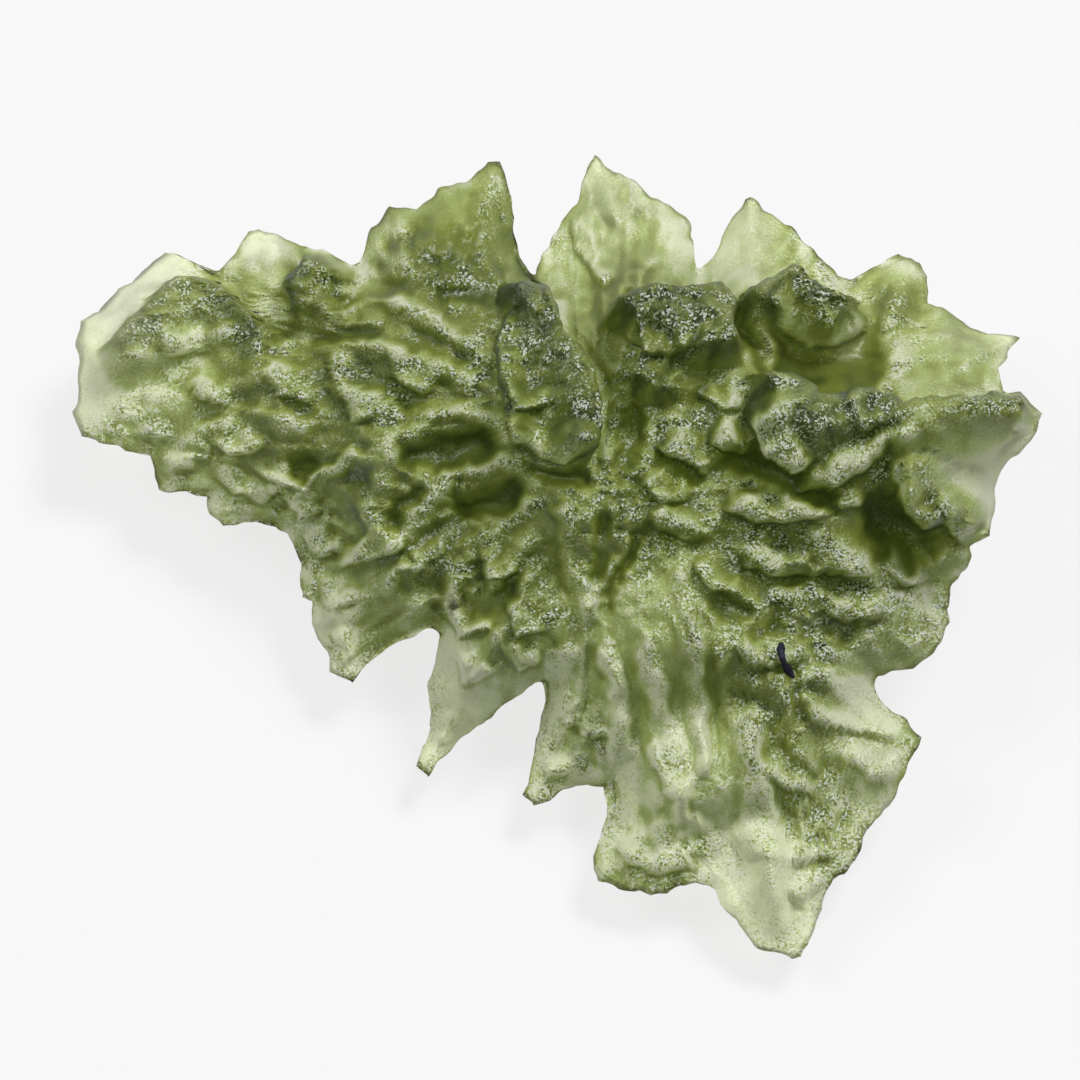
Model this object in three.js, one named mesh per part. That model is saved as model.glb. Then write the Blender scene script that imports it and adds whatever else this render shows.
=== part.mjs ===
// A piece of etched natural glass (moldavite): a thick, toothed leaf of glass, ribbed from a hub.
//
// The stone is drawn on a slanted sheet that leans back over the floor. On the sheet, x runs to the
// right and y runs down, in steps of UNIT mm. Every height is measured square to the sheet, in mm.
// Two skins, a front and a back, meet along the toothed rim and close the body. The back skin is cut
// off level with the floor, which leaves the small flat the stone rests on.
import * as THREE from 'three'

// ---- driving dimensions ----------------------------------------------------------------------
const UNIT = 0.03 // mm to one step of the drawing sheet
const LEAN = 60 // degrees between the sheet's normal and the floor
const HUB = [600, 480] // where the ribs meet, in sheet steps
const RINGS = 24 // rings of cells from the hub to the rim
const EDGE_RUN = 1.8 // mm over which the stone thickens inward from its rim
const CREST_RUN = 0.5 // mm over which the crests grow inward from the rim
const BELLY = 1.3 // back thickness against front thickness
const THINNEST = 0.25 // mm of glass left under the deepest pit
const ENVELOPE_SPAN = 25 // degrees either side that smooth the inner rings
const TURN_END = 0.55 // share of the radius where grid lines become straight spokes
const EDGE_BY_LENGTH = 0.6 // rim points shared out by length, the rest by angle
const BLEND_REACH = 40 // sheet steps, how softly the level table is blended
const BACK_RIB = { height: 0.7, reach: 26, start: 0.3, fade: 40 }
const BELLY_SWELLING = { height: 1.4, at: [613, 545], reach: 130 } // widens the resting flat
const HUB_BACK = [600, 500]

// The toothed rim, anticlockwise from the lower right.
const RIM = [
  [899, 774], [912, 747], [916, 735], [898, 717], [877, 700], [871, 688], [874, 678], [886, 672],
  [908, 668], [930, 654], [944, 632], [948, 620], [944, 608], [951, 591], [961, 569], [968, 545],
  [973, 540], [988, 535], [992, 510], [995, 489], [1000, 472], [1016, 455], [1033, 434],
  [1040, 416], [1019, 392], [999, 392], [1000, 369], [1020, 337], [987, 332], [953, 312],
  [932, 301], [932, 275], [923, 260], [902, 248], [877, 264], [859, 277], [838, 275], [815, 246],
  [796, 222], [773, 212], [751, 195], [735, 217], [713, 258], [697, 275], [694, 268], [698, 237],
  [691, 221], [675, 207], [647, 190], [613, 163], [603, 156], [593, 152], [585, 170], [575, 200],
  [567, 215], [556, 245], [547, 268], [545, 281], [537, 276], [521, 225], [502, 164], [499, 159],
  [488, 159], [480, 168], [466, 180], [439, 187], [417, 204], [387, 204], [369, 228], [364, 250],
  [361, 266], [351, 262], [338, 255], [313, 246], [295, 239], [273, 230], [256, 225], [244, 230],
  [235, 246], [221, 262], [217, 268], [209, 270], [190, 261], [168, 250], [160, 248], [148, 257],
  [135, 273], [110, 286], [95, 309], [75, 320], [75, 365], [72, 410], [79, 436], [113, 446],
  [122, 452], [149, 455], [152, 472], [158, 490], [162, 493], [206, 492], [209, 514], [221, 527],
  [236, 526], [258, 524], [272, 523], [290, 538], [302, 562], [300, 595], [308, 599], [315, 640],
  [330, 658], [330, 673], [354, 684], [400, 649], [427, 627], [436, 626], [444, 637], [438, 660],
  [431, 686], [432, 711], [429, 728], [423, 751], [418, 767], [428, 776], [440, 757], [457, 744],
  [480, 724], [508, 702], [532, 682], [543, 679], [548, 683], [522, 795], [530, 806], [538, 803],
  [553, 788], [572, 783], [591, 787], [592, 820], [592, 850], [593, 868], [598, 877], [618, 887],
  [638, 888], [651, 893], [665, 891], [678, 883], [692, 879], [705, 880], [716, 888], [727, 908],
  [741, 926], [752, 941], [770, 948], [788, 956], [798, 953], [805, 939], [812, 921], [821, 906],
  [823, 888], [828, 879], [839, 872], [852, 857], [859, 841], [872, 819], [886, 803]
]

// Undercut notches: the sheet is pushed by (dx, dy) around (x, y), fading over the reach.
const PUSHES = [
  { at: [595, 797], by: [26, 0], reach: 38 },
  { at: [526, 262], by: [-13, 0], reach: 45 },
  { at: [392, 652], by: [-14, -8], reach: 32 }
]

// Level of the rim sheet over the floor (mm) and half thickness (mm): [x, y, level, half].
const LEVELS = [
  [75, 370, 3.2, 1.2], [150, 300, 3.8, 1.4], [161, 250, 3.4, 1.0], [256, 228, 3.8, 1.1],
  [262, 285, 3.6, 1.3], [215, 440, 3.2, 2.6], [320, 255, 5.6, 2.0], [490, 165, 6.4, 1.6],
  [450, 240, 6.2, 2.4], [593, 155, 5.2, 1.2], [625, 245, 4.8, 1.5], [560, 262, 4.8, 1.2],
  [751, 197, 4.6, 1.1], [740, 258, 4.6, 1.2], [905, 250, 5.0, 1.4], [860, 290, 4.8, 1.6],
  [1020, 337, 5.2, 1.2], [920, 340, 5.0, 1.8], [1040, 416, 7.4, 1.8], [960, 430, 7.0, 2.6],
  [985, 520, 5.8, 2.0], [948, 620, 4.6, 2.0], [916, 735, 3.2, 1.7], [860, 840, 2.2, 1.4],
  [790, 950, 1.4, 1.0], [740, 860, 2.0, 1.3], [600, 870, 1.6, 1.4], [528, 800, 1.6, 1.4],
  [425, 770, 1.6, 1.3], [345, 675, 2.0, 1.4], [300, 580, 2.6, 1.8], [225, 520, 2.8, 1.7],
  [160, 485, 2.8, 1.6], [600, 480, 5.2, 5.0], [530, 370, 6.0, 4.4], [680, 370, 6.2, 4.4],
  [820, 350, 5.2, 2.4], [800, 450, 6.0, 4.2], [400, 440, 4.6, 4.2], [300, 420, 4.0, 3.2],
  [400, 320, 5.4, 3.8], [700, 600, 4.4, 4.4], [800, 640, 4.0, 3.6], [700, 750, 3.0, 2.7],
  [520, 600, 4.0, 3.8], [440, 560, 3.6, 3.4], [650, 292, 7.4, 3.8], [706, 292, 7.2, 3.6],
  [532, 294, 7.2, 3.6]
]

// A line feature: path, height in mm, reach to its right-hand side and to its left-hand side as one
// walks the path (both in sheet steps), and the length over which it fades in and out at its ends.
const line = (height, right, left, fade, path) => ({ height, right, left, fade, path })

// Overhanging crests: a long slope on one side and a cliff on the other.
const CRESTS = [
  line(1.8, 70, 10, 40, [[84, 352], [130, 315], [175, 274], [211, 280], [240, 300], [262, 322],
    [300, 334]]),
  line(1.8, 70, 10, 30, [[298, 334], [289, 300], [288, 272], [313, 248], [345, 262], [361, 268]]),
  line(2.6, 80, 11, 30, [[500, 306], [516, 288], [546, 284], [562, 322], [578, 349], [591, 371],
    [596, 393], [598, 429], [588, 466]]),
  line(1.5, 14, 52, 30, [[512, 296], [500, 340], [498, 380], [505, 420], [515, 458]]),
  line(3.2, 110, 11, 30, [[604, 322], [618, 299], [640, 287], [656, 284], [705, 289], [719, 285],
    [728, 298], [737, 330], [742, 366]]),
  line(2.4, 12, 75, 30, [[616, 299], [628, 325], [638, 348], [634, 372], [624, 404]]),
  line(3.0, 50, 11, 30, [[731, 306], [773, 273], [804, 268], [817, 280], [828, 290], [851, 296],
    [868, 316]]),
  line(3.0, 70, 10, 30, [[738, 374], [760, 374], [790, 372], [805, 383], [815, 396], [840, 394],
    [855, 386], [870, 383], [880, 392], [900, 402], [928, 398], [958, 396], [1000, 393],
    [1019, 393], [1036, 412]]),
  line(2.0, 60, 10, 25, [[988, 538], [960, 522], [925, 526], [905, 515], [898, 480], [903, 442]])
]

// Ribs and knobs that run out from the hub.
const RIBS = [
  line(0.6, 18, 18, 20, [[592, 464], [555, 462], [525, 452], [505, 432], [478, 410], [445, 408],
    [412, 420], [396, 440], [380, 460], [372, 480]]),
  line(0.8, 20, 20, 25, [[550, 494], [528, 478], [500, 466], [468, 468], [446, 486], [424, 512],
    [392, 542], [352, 564], [320, 594]]),
  line(0.6, 16, 16, 20, [[545, 496], [524, 516], [498, 534], [472, 547], [448, 562]]),
  line(0.7, 16, 16, 25, [[470, 548], [457, 572], [450, 602], [446, 632], [440, 680], [437, 720],
    [424, 770]]),
  line(0.6, 16, 16, 20, [[546, 528], [518, 546], [498, 572], [478, 592]]),
  line(0.55, 16, 16, 20, [[530, 560], [526, 600], [508, 626], [484, 652]]),
  line(0.8, 17, 17, 25, [[560, 496], [566, 540], [574, 579], [585, 605], [596, 628]]),
  line(0.7, 18, 18, 25, [[598, 634], [612, 670], [618, 705], [616, 745], [606, 770]]),
  line(0.7, 20, 20, 25, [[562, 632], [557, 680], [553, 720], [545, 760], [528, 800]]),
  line(0.6, 16, 16, 25, [[636, 622], [648, 665], [660, 700], [668, 735], [676, 780], [682, 826]]),
  line(0.6, 16, 16, 25, [[668, 554], [680, 590], [688, 630], [697, 670], [700, 720], [700, 780]]),
  line(0.8, 26, 26, 30, [[744, 696], [750, 760], [756, 800], [762, 840], [775, 900], [789, 950]]),
  line(0.7, 18, 18, 25, [[628, 754], [622, 800], [610, 840], [597, 872]]),
  line(0.7, 18, 18, 25, [[698, 532], [718, 514], [745, 506], [785, 504], [834, 518]]),
  line(0.8, 17, 17, 25, [[792, 492], [820, 475], [850, 458], [880, 449], [920, 440]]),
  line(1.1, 29, 29, 20, [[792, 382], [774, 418], [781, 464]]),
  line(0.8, 20, 20, 20, [[768, 378], [735, 394], [722, 424], [727, 454]]),
  line(0.7, 24, 24, 20, [[672, 400], [674, 432], [692, 458]]),
  line(0.5, 14, 14, 12, [[600, 470], [612, 432], [624, 398]]),
  line(0.55, 16, 16, 18, [[636, 472], [664, 487], [696, 502]]),
  line(0.55, 16, 16, 18, [[646, 506], [690, 518], [714, 540]]),
  line(0.8, 18, 18, 25, [[788, 668], [830, 680], [852, 688], [880, 712], [914, 736]]),
  line(0.7, 20, 20, 25, [[790, 530], [822, 546], [852, 566], [900, 590]]),
  line(0.6, 24, 24, 20, [[738, 532], [758, 560], [786, 572]]),
  line(0.6, 22, 22, 25, [[760, 598], [820, 604], [880, 602], [934, 610]]),
  line(0.5, 20, 20, 25, [[720, 640], [770, 650], [840, 655], [900, 650]]),
  line(0.6, 18, 18, 25, [[372, 296], [410, 308], [440, 328], [470, 345], [500, 372]]),
  line(0.6, 18, 18, 25, [[326, 354], [380, 348], [430, 368], [486, 388]]),
  line(0.55, 18, 18, 25, [[180, 388], [250, 378], [320, 372], [360, 400], [405, 404]]),
  line(0.5, 18, 18, 25, [[90, 366], [140, 358], [190, 340], [246, 330]]),
  line(0.55, 18, 18, 25, [[150, 462], [200, 430], [260, 422], [324, 430]]),
  line(0.55, 14, 14, 20, [[228, 506], [280, 484], [308, 490], [334, 470], [366, 446]]),
  line(0.6, 16, 16, 20, [[338, 668], [350, 620], [375, 590], [414, 568]]),
  line(0.6, 15, 15, 20, [[262, 470], [300, 520], [330, 540]]),
  line(0.6, 16, 16, 25, [[494, 162], [492, 205], [488, 270]]),
  line(0.5, 16, 16, 25, [[396, 208], [400, 250], [410, 288]]),
  line(0.6, 18, 18, 25, [[594, 156], [612, 200], [640, 250], [655, 280]]),
  line(0.5, 18, 18, 25, [[752, 198], [752, 240], [742, 290]]),
  line(0.5, 20, 20, 25, [[903, 252], [900, 300], [880, 340]]),
  line(0.5, 20, 20, 25, [[1018, 338], [970, 350], [930, 370]])
]

// Round-ended pits cut into the front.
const PITS = [
  line(0.8, 18, 18, 15, [[448, 512], [490, 502], [526, 494]]),
  line(1.1, 24, 24, 20, [[394, 460], [450, 454], [502, 438]]),
  line(0.8, 18, 18, 12, [[280, 472], [326, 460]]),
  line(0.5, 15, 15, 10, [[342, 484], [378, 476]]),
  line(0.6, 14, 14, 20, [[516, 476], [560, 478], [596, 474]]),
  line(0.5, 10, 10, 15, [[650, 454], [680, 466], [704, 484]]),
  line(1.2, 19, 19, 20, [[714, 456], [760, 468], [790, 482], [812, 494], [846, 510]]),
  line(1.5, 42, 42, 30, [[845, 502], [900, 528], [930, 548], [950, 568]]),
  line(1.5, 42, 42, 30, [[760, 350], [830, 364], [892, 358]]),
  line(0.5, 14, 14, 20, [[330, 312], [365, 292], [405, 286]]),
  line(0.5, 12, 12, 20, [[300, 338], [350, 336], [390, 326]]),
  line(0.45, 12, 12, 15, [[706, 596], [735, 608], [752, 622]]),
  line(0.5, 16, 16, 15, [[520, 576], [490, 605], [462, 622]]),
  line(0.45, 12, 12, 15, [[382, 528], [410, 505], [428, 482]]),
  line(0.45, 10, 10, 20, [[642, 524], [625, 570], [610, 590], [596, 624]]),
  line(0.4, 18, 18, 15, [[396, 590], [430, 588], [452, 578]])
]

// Narrow grooves between the ribs.
const GROOVES = [
  line(0.5, 12, 12, 20, [[556, 306], [585, 352], [600, 385], [608, 414], [603, 444]]),
  line(0.6, 13, 13, 15, [[731, 302], [748, 335], [760, 360], [774, 376]]),
  line(0.5, 12, 12, 20, [[430, 290], [470, 299], [520, 293]]),
  line(0.4, 13, 13, 20, [[700, 594], [708, 660], [712, 740], [715, 790]]),
  line(0.5, 15, 15, 20, [[640, 682], [640, 740], [634, 790]]),
  line(0.35, 11, 11, 20, [[592, 634], [588, 700], [575, 746]]),
  line(0.4, 14, 14, 15, [[630, 400], [630, 440], [624, 476]]),
  line(0.4, 16, 16, 20, [[600, 500], [604, 550], [588, 590]]),
  line(0.4, 18, 18, 20, [[390, 470], [404, 486], [392, 500]])
]

// Teeth that carry a rib on the back.
const TEETH = [
  [161, 248], [256, 225], [313, 246], [490, 160], [593, 152], [751, 195], [902, 248], [1020, 337],
  [1040, 416], [988, 535], [948, 620], [916, 735], [788, 956], [600, 877], [528, 803], [425, 772],
  [350, 680], [225, 527], [160, 490], [75, 380]
]

// ---- small helpers ---------------------------------------------------------------------------
const clamp = (x, low, high) => Math.min(Math.max(x, low), high)
const mix = (a, b, t) => a + (b - a) * t
const ease = (x) => x * x * (3 - 2 * x)
const radians = (degrees) => degrees * Math.PI / 180
const distance = (a, b) => Math.hypot(a[0] - b[0], a[1] - b[1])
const angleOf = (p) => Math.atan2(HUB[1] - p[1], p[0] - HUB[0])

// Nearest point of a path: distance, side (+1 right, -1 left) and length walked to reach it.
function nearest(path, x, y) {
  let best = { gap: Infinity, side: 1, walked: 0 }
  let walked = 0
  for (let i = 0; i + 1 < path.length; i++) {
    const [ax, ay] = path[i]
    const dx = path[i + 1][0] - ax
    const dy = path[i + 1][1] - ay
    const length = Math.hypot(dx, dy)
    const t = clamp(((x - ax) * dx + (y - ay) * dy) / (length * length), 0, 1)
    const ox = x - ax - t * dx
    const oy = y - ay - t * dy
    const gap = Math.hypot(ox, oy)
    if (gap < best.gap) {
      best = { gap, side: dx * oy - dy * ox < 0 ? -1 : 1, walked: walked + t * length }
    }
    walked += length
  }
  best.length = walked
  return best
}

// Height of one line feature at (x, y): a rounded bump across, fading at both ends.
function relief(feature, x, y) {
  const near = nearest(feature.path, x, y)
  const across = near.gap / (near.side > 0 ? feature.right : feature.left)
  if (across >= 1) {
    return 0
  }
  const ends = Math.min(near.walked, near.length - near.walked) / feature.fade
  return feature.height * (1 - across * across) ** 2 * ease(clamp(ends, 0, 1))
}

const tallest = (features, x, y) => Math.max(...features.map((feature) => relief(feature, x, y)))

// ---- rim and grid ----------------------------------------------------------------------------
// Shares the rim points over the edges so that every corner of the rim is kept.
function rimPoints(count) {
  const spans = RIM.map((a, i) => {
    const b = RIM[(i + 1) % RIM.length]
    const turn = (angleOf(b) - angleOf(a) + 4 * Math.PI) % (2 * Math.PI)
    return { length: distance(a, b), turn: Math.min(turn, 2 * Math.PI - turn) }
  })
  const total = spans.reduce((sum, span) => sum + span.length, 0)
  const weights = spans.map((span) =>
    EDGE_BY_LENGTH * span.length / total + (1 - EDGE_BY_LENGTH) * span.turn / (2 * Math.PI))
  const steps = spans.map(() => 1)
  for (let left = count - RIM.length; left > 0; left--) {
    let widest = 0
    for (let i = 1; i < steps.length; i++) {
      if (weights[i] / steps[i] > weights[widest] / steps[widest]) {
        widest = i
      }
    }
    steps[widest] += 1
  }
  return RIM.flatMap((a, i) => {
    const b = RIM[(i + 1) % RIM.length]
    return Array.from({ length: steps[i] }, (_, k) => [
      mix(a[0], b[0], k / steps[i]),
      mix(a[1], b[1], k / steps[i])
    ])
  })
}

// Angles of the rim points, always rising round the stone.
function risingAngles(points) {
  const angles = [angleOf(points[0])]
  for (let i = 1; i < points.length; i++) {
    const step = (angleOf(points[i]) - angleOf(points[i - 1]) + 3 * Math.PI) % (2 * Math.PI)
    angles.push(Math.max(angles[i - 1] + step - Math.PI, angles[i - 1] + 1e-5))
  }
  return angles
}

// Reach of the rim at any angle, and a smooth envelope that stays inside it.
function rimTable(points) {
  const angles = risingAngles(points)
  const reaches = points.map((p) => distance(p, HUB))
  const full = 2 * Math.PI
  const at = (values, angle) => {
    let a = (angle - angles[0]) % full
    a = angles[0] + (a < 0 ? a + full : a)
    let i = angles.findIndex((value) => value > a)
    i = i < 0 ? angles.length : i
    const next = i < angles.length ? angles[i] : angles[0] + full
    const t = (a - angles[i - 1]) / (next - angles[i - 1])
    return mix(values[i - 1], values[i % values.length], t)
  }
  const span = radians(ENVELOPE_SPAN)
  const window = (values, pick) => angles.map((angle) => {
    const inside = values.filter((_, i) => {
      const gap = Math.abs(angles[i] - angle) % full
      return Math.min(gap, full - gap) <= span
    })
    return pick(inside)
  })
  const lowest = window(reaches, (list) => Math.min(...list))
  const envelope = window(lowest, (list) => list.reduce((a, b) => a + b, 0) / list.length)
  const inner = envelope.map((value, i) => Math.min(value, reaches[i]))
  return {
    angles,
    reach: (angle) => at(reaches, angle),
    inner: (angle) => at(inner, angle)
  }
}

// Place of a grid node (i, j): a square grid wrapped into rings, ring k holding 8k nodes.
function ringPlace(i, j) {
  const k = Math.max(Math.abs(i), Math.abs(j))
  if (k === 0) {
    return { k, turn: 0 }
  }
  let index = 6 * k + i + k
  if (i === k && j < k) {
    index = j + k
  } else if (j === k && i > -k) {
    index = 3 * k - i
  } else if (i === -k && j > -k) {
    index = 5 * k - j
  }
  return { k, turn: index / (8 * k) }
}

// Sheet position of a grid node, before the notches are pushed under.
function sheetPoint(i, j, points, table) {
  const { k, turn } = ringPlace(i, j)
  const s = k / RINGS
  const place = turn * points.length
  if (k === RINGS) {
    return points[Math.round(place) % points.length]
  }
  const low = Math.floor(place)
  const start = table.angles[low]
  const end = low + 1 < points.length ? table.angles[low + 1] : table.angles[0] + 2 * Math.PI
  const rimAngle = mix(start, end, place - low)
  const evenAngle = table.angles[0] + 2 * Math.PI * turn
  const angle = mix(evenAngle, rimAngle, ease(clamp(s / TURN_END, 0, 1)))
  const inner = table.inner(angle)
  const radius = s * inner + s * s * (table.reach(angle) - inner)
  return [HUB[0] + radius * Math.cos(angle), HUB[1] - radius * Math.sin(angle)]
}

function pushed([x, y]) {
  let px = x
  let py = y
  for (const push of PUSHES) {
    const fall = Math.exp(-((distance([x, y], push.at) / push.reach) ** 2))
    px += push.by[0] * fall
    py += push.by[1] * fall
  }
  return [px, py]
}

// ---- the two skins ---------------------------------------------------------------------------
// Level and half thickness at (x, y), blended from the table by closeness.
function levelAt(x, y) {
  let weights = 0
  let level = 0
  let half = 0
  for (const [cx, cy, cLevel, cHalf] of LEVELS) {
    const weight = ((x - cx) ** 2 + (y - cy) ** 2 + BLEND_REACH ** 2) ** -2
    weights += weight
    level += weight * cLevel
    half += weight * cHalf
  }
  return { level: level / weights, half: half / weights }
}

const BACK_RIBS = TEETH.map((tooth) => {
  const start = [mix(HUB_BACK[0], tooth[0], BACK_RIB.start), mix(HUB_BACK[1], tooth[1], BACK_RIB.start)]
  return line(BACK_RIB.height, BACK_RIB.reach, BACK_RIB.reach, BACK_RIB.fade, [start, tooth])
})

// Heights of the front and back skins at (x, y), square to the sheet, `inward` mm from the rim.
function skins(x, y, inward) {
  const { level, half } = levelAt(x, y)
  const rise = (HUB[1] - y) * UNIT
  const lean = radians(LEAN)
  const floor = -rise * Math.cos(lean) / Math.sin(lean)
  const middle = floor + level / Math.sin(lean)
  const swell = 1 - Math.exp(-inward / EDGE_RUN)
  const near = ease(clamp(inward / EDGE_RUN, 0, 1))
  const crests = ease(clamp(inward / CREST_RUN, 0, 1)) * tallest(CRESTS, x, y)
  const cuts = Math.max(tallest(PITS, x, y), tallest(GROOVES, x, y))
  const away = distance([x, y], BELLY_SWELLING.at) / BELLY_SWELLING.reach
  const belly = BELLY_SWELLING.height * Math.exp(-(away ** 2))
  const back = middle - BELLY * half * swell - near * tallest(BACK_RIBS, x, y) - belly
  const front = middle + half * swell + crests + near * (tallest(RIBS, x, y) - cuts)
  const resting = Math.max(back, floor)
  return { front: Math.max(front, resting + THINNEST * near), back: resting }
}

// ---- mesh ------------------------------------------------------------------------------------
function buildStone() {
  const side = 2 * RINGS + 1
  const rim = rimPoints(8 * RINGS)
  const table = rimTable(rim)
  const edge = rim.map(pushed)
  edge.push(edge[0])
  const lean = radians(LEAN)
  const vertices = []
  const place = (x, y, w) => {
    const u = (x - HUB[0]) * UNIT
    const v = (HUB[1] - y) * UNIT
    vertices.push(u, v * Math.sin(lean) - w * Math.cos(lean), v * Math.cos(lean) + w * Math.sin(lean))
    return vertices.length / 3 - 1
  }
  const frontIndex = []
  const backIndex = []
  for (let row = 0; row < side; row++) {
    for (let column = 0; column < side; column++) {
      const [x, y] = pushed(sheetPoint(column - RINGS, row - RINGS, rim, table))
      const onRim = row === 0 || column === 0 || row === side - 1 || column === side - 1
      const inward = onRim ? 0 : nearest(edge, x, y).gap * UNIT
      const { front, back } = skins(x, y, inward)
      frontIndex.push(place(x, y, front))
      backIndex.push(onRim ? frontIndex.at(-1) : place(x, y, back))
    }
  }
  const faces = []
  for (let row = 0; row + 1 < side; row++) {
    for (let column = 0; column + 1 < side; column++) {
      const a = row * side + column
      const b = a + 1
      const c = b + side
      const d = a + side
      const level = (row < RINGS) === (column < RINGS)
      const halves = level ? [[a, b, c], [a, c, d]] : [[a, b, d], [b, c, d]]
      for (const [p, q, r] of halves) {
        faces.push(frontIndex[p], frontIndex[q], frontIndex[r])
        faces.push(backIndex[p], backIndex[r], backIndex[q])
      }
    }
  }
  const geometry = new THREE.BufferGeometry()
  geometry.setAttribute('position', new THREE.Float32BufferAttribute(vertices, 3))
  geometry.setIndex(faces)
  geometry.computeBoundingBox()
  const box = geometry.boundingBox
  geometry.translate(-(box.min.x + box.max.x) / 2, -(box.min.y + box.max.y) / 2, -box.min.z)
  geometry.computeVertexNormals()
  return geometry
}

const glass = new THREE.MeshStandardMaterial({ color: 0x6f8a3a, roughness: 0.3, metalness: 0 })
const stone = new THREE.Mesh(buildStone(), glass)
stone.name = 'moldavite'

const part = new THREE.Group()
part.name = 'part'
part.add(stone)

export default part
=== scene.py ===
import bpy
import numpy as np
from mathutils import Matrix


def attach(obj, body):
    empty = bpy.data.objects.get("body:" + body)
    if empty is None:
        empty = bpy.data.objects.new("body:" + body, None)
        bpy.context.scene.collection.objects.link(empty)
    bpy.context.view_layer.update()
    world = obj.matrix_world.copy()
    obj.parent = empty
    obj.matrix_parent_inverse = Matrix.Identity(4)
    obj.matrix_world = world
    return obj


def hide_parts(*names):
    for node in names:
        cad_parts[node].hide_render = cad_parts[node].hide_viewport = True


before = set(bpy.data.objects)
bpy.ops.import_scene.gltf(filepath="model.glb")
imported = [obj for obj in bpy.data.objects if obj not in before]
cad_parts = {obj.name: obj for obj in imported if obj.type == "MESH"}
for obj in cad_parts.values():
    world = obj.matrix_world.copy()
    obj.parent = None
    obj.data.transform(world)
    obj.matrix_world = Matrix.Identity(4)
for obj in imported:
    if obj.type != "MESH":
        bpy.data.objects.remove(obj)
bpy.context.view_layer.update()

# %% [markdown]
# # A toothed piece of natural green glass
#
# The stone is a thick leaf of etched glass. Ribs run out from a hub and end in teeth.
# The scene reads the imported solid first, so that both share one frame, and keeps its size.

MM = 0.001

# %% [markdown]
# ## The drawing sheet
#
# The stone is drawn on a slanted sheet that leans back over the floor. On the sheet, x runs to
# the right and y runs down, in steps of UNIT mm. It could be sculpted, but a drawing can be
# corrected line by line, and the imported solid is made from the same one.
#
# A line feature is a path with a height, a reach to its right and to its left, and the length
# over which it fades at both ends. Heights are in mm, all else is in sheet steps.

# %% The sheet and its line features
UNIT = 0.03  # mm to one step of the sheet
LEAN = np.radians(60.0)  # between the sheet's normal and the floor
OUTWARD = (0.0, -np.cos(LEAN), np.sin(LEAN))  # the sheet's normal
HUB = np.array([600.0, 480.0])  # where the ribs meet
HUB_BACK = np.array([600.0, 500.0])  # where the back ribs meet


def line(height, right, left, fade, path):
    """One line feature, kept as (height, right reach, left reach, fade, path)."""
    return height, right, left, fade, np.array(path, dtype=float)


def strip(height, reach, fade, path):
    """A line feature with the same reach on both sides."""
    return line(height, reach, reach, fade, path)


def lobe(height, wide, path, narrow=8, fade=12):
    """A knob that falls off gently to the left of its path and steeply to the right."""
    return line(height, narrow, wide, fade, path)


def to_stone(x, y, w):
    """Sheet position and height to upright coordinates in mm, hub at the origin."""
    u, v = (x - HUB[0]) * UNIT, (HUB[1] - y) * UNIT
    return np.stack([u, v * np.sin(LEAN) - w * np.cos(LEAN), v * np.cos(LEAN) + w * np.sin(LEAN)], -1)


print("sheet step:", UNIT, "mm, lean:", round(float(np.degrees(LEAN))), "degrees")

# %% Rim, notches and levels
# Corners of the rim, anticlockwise on the sheet from the lower right.
RIM = [
  [899, 774], [912, 747], [916, 735], [898, 717], [877, 700], [871, 688], [874, 678], [886, 672],
  [908, 668], [930, 654], [944, 632], [948, 620], [944, 608], [951, 591], [961, 569], [968, 545],
  [973, 540], [988, 535], [992, 510], [995, 489], [1000, 472], [1016, 455], [1033, 434],
  [1040, 416], [1019, 392], [999, 392], [1000, 369], [1020, 337], [987, 332], [953, 312],
  [932, 301], [932, 275], [923, 260], [902, 248], [877, 264], [859, 277], [838, 275], [815, 246],
  [796, 222], [773, 212], [751, 195], [735, 217], [713, 258], [697, 275], [694, 268], [698, 237],
  [691, 221], [675, 207], [647, 190], [613, 163], [603, 156], [593, 152], [585, 170], [575, 200],
  [567, 215], [556, 245], [547, 268], [545, 281], [537, 276], [521, 225], [502, 164], [499, 159],
  [488, 159], [480, 168], [466, 180], [439, 187], [417, 204], [387, 204], [369, 228], [364, 250],
  [361, 266], [351, 262], [338, 255], [313, 246], [295, 239], [273, 230], [256, 225], [244, 230],
  [235, 246], [221, 262], [217, 268], [209, 270], [190, 261], [168, 250], [160, 248], [148, 257],
  [135, 273], [110, 286], [95, 309], [75, 320], [75, 365], [72, 410], [79, 436], [113, 446],
  [122, 452], [149, 455], [152, 472], [158, 490], [162, 493], [206, 492], [209, 514], [221, 527],
  [236, 526], [258, 524], [272, 523], [290, 538], [302, 562], [300, 595], [308, 599], [315, 640],
  [330, 658], [330, 673], [354, 684], [400, 649], [427, 627], [436, 626], [444, 637], [438, 660],
  [431, 686], [432, 711], [429, 728], [423, 751], [418, 767], [428, 776], [440, 757], [457, 744],
  [480, 724], [508, 702], [532, 682], [543, 679], [548, 683], [522, 795], [530, 806], [538, 803],
  [553, 788], [572, 783], [591, 787], [592, 820], [592, 850], [593, 868], [598, 877], [618, 887],
  [638, 888], [651, 893], [665, 891], [678, 883], [692, 879], [705, 880], [716, 888], [727, 908],
  [741, 926], [752, 941], [770, 948], [788, 956], [798, 953], [805, 939], [812, 921], [821, 906],
  [823, 888], [828, 879], [839, 872], [852, 857], [859, 841], [872, 819], [886, 803]
]

# A notch that undercuts is slid sideways: (place, shift, reach).
PUSHES = [
  ([595, 797], [26, 0], 38),
  ([526, 262], [-13, 0], 45),
  ([392, 652], [-14, -8], 32)
]

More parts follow.
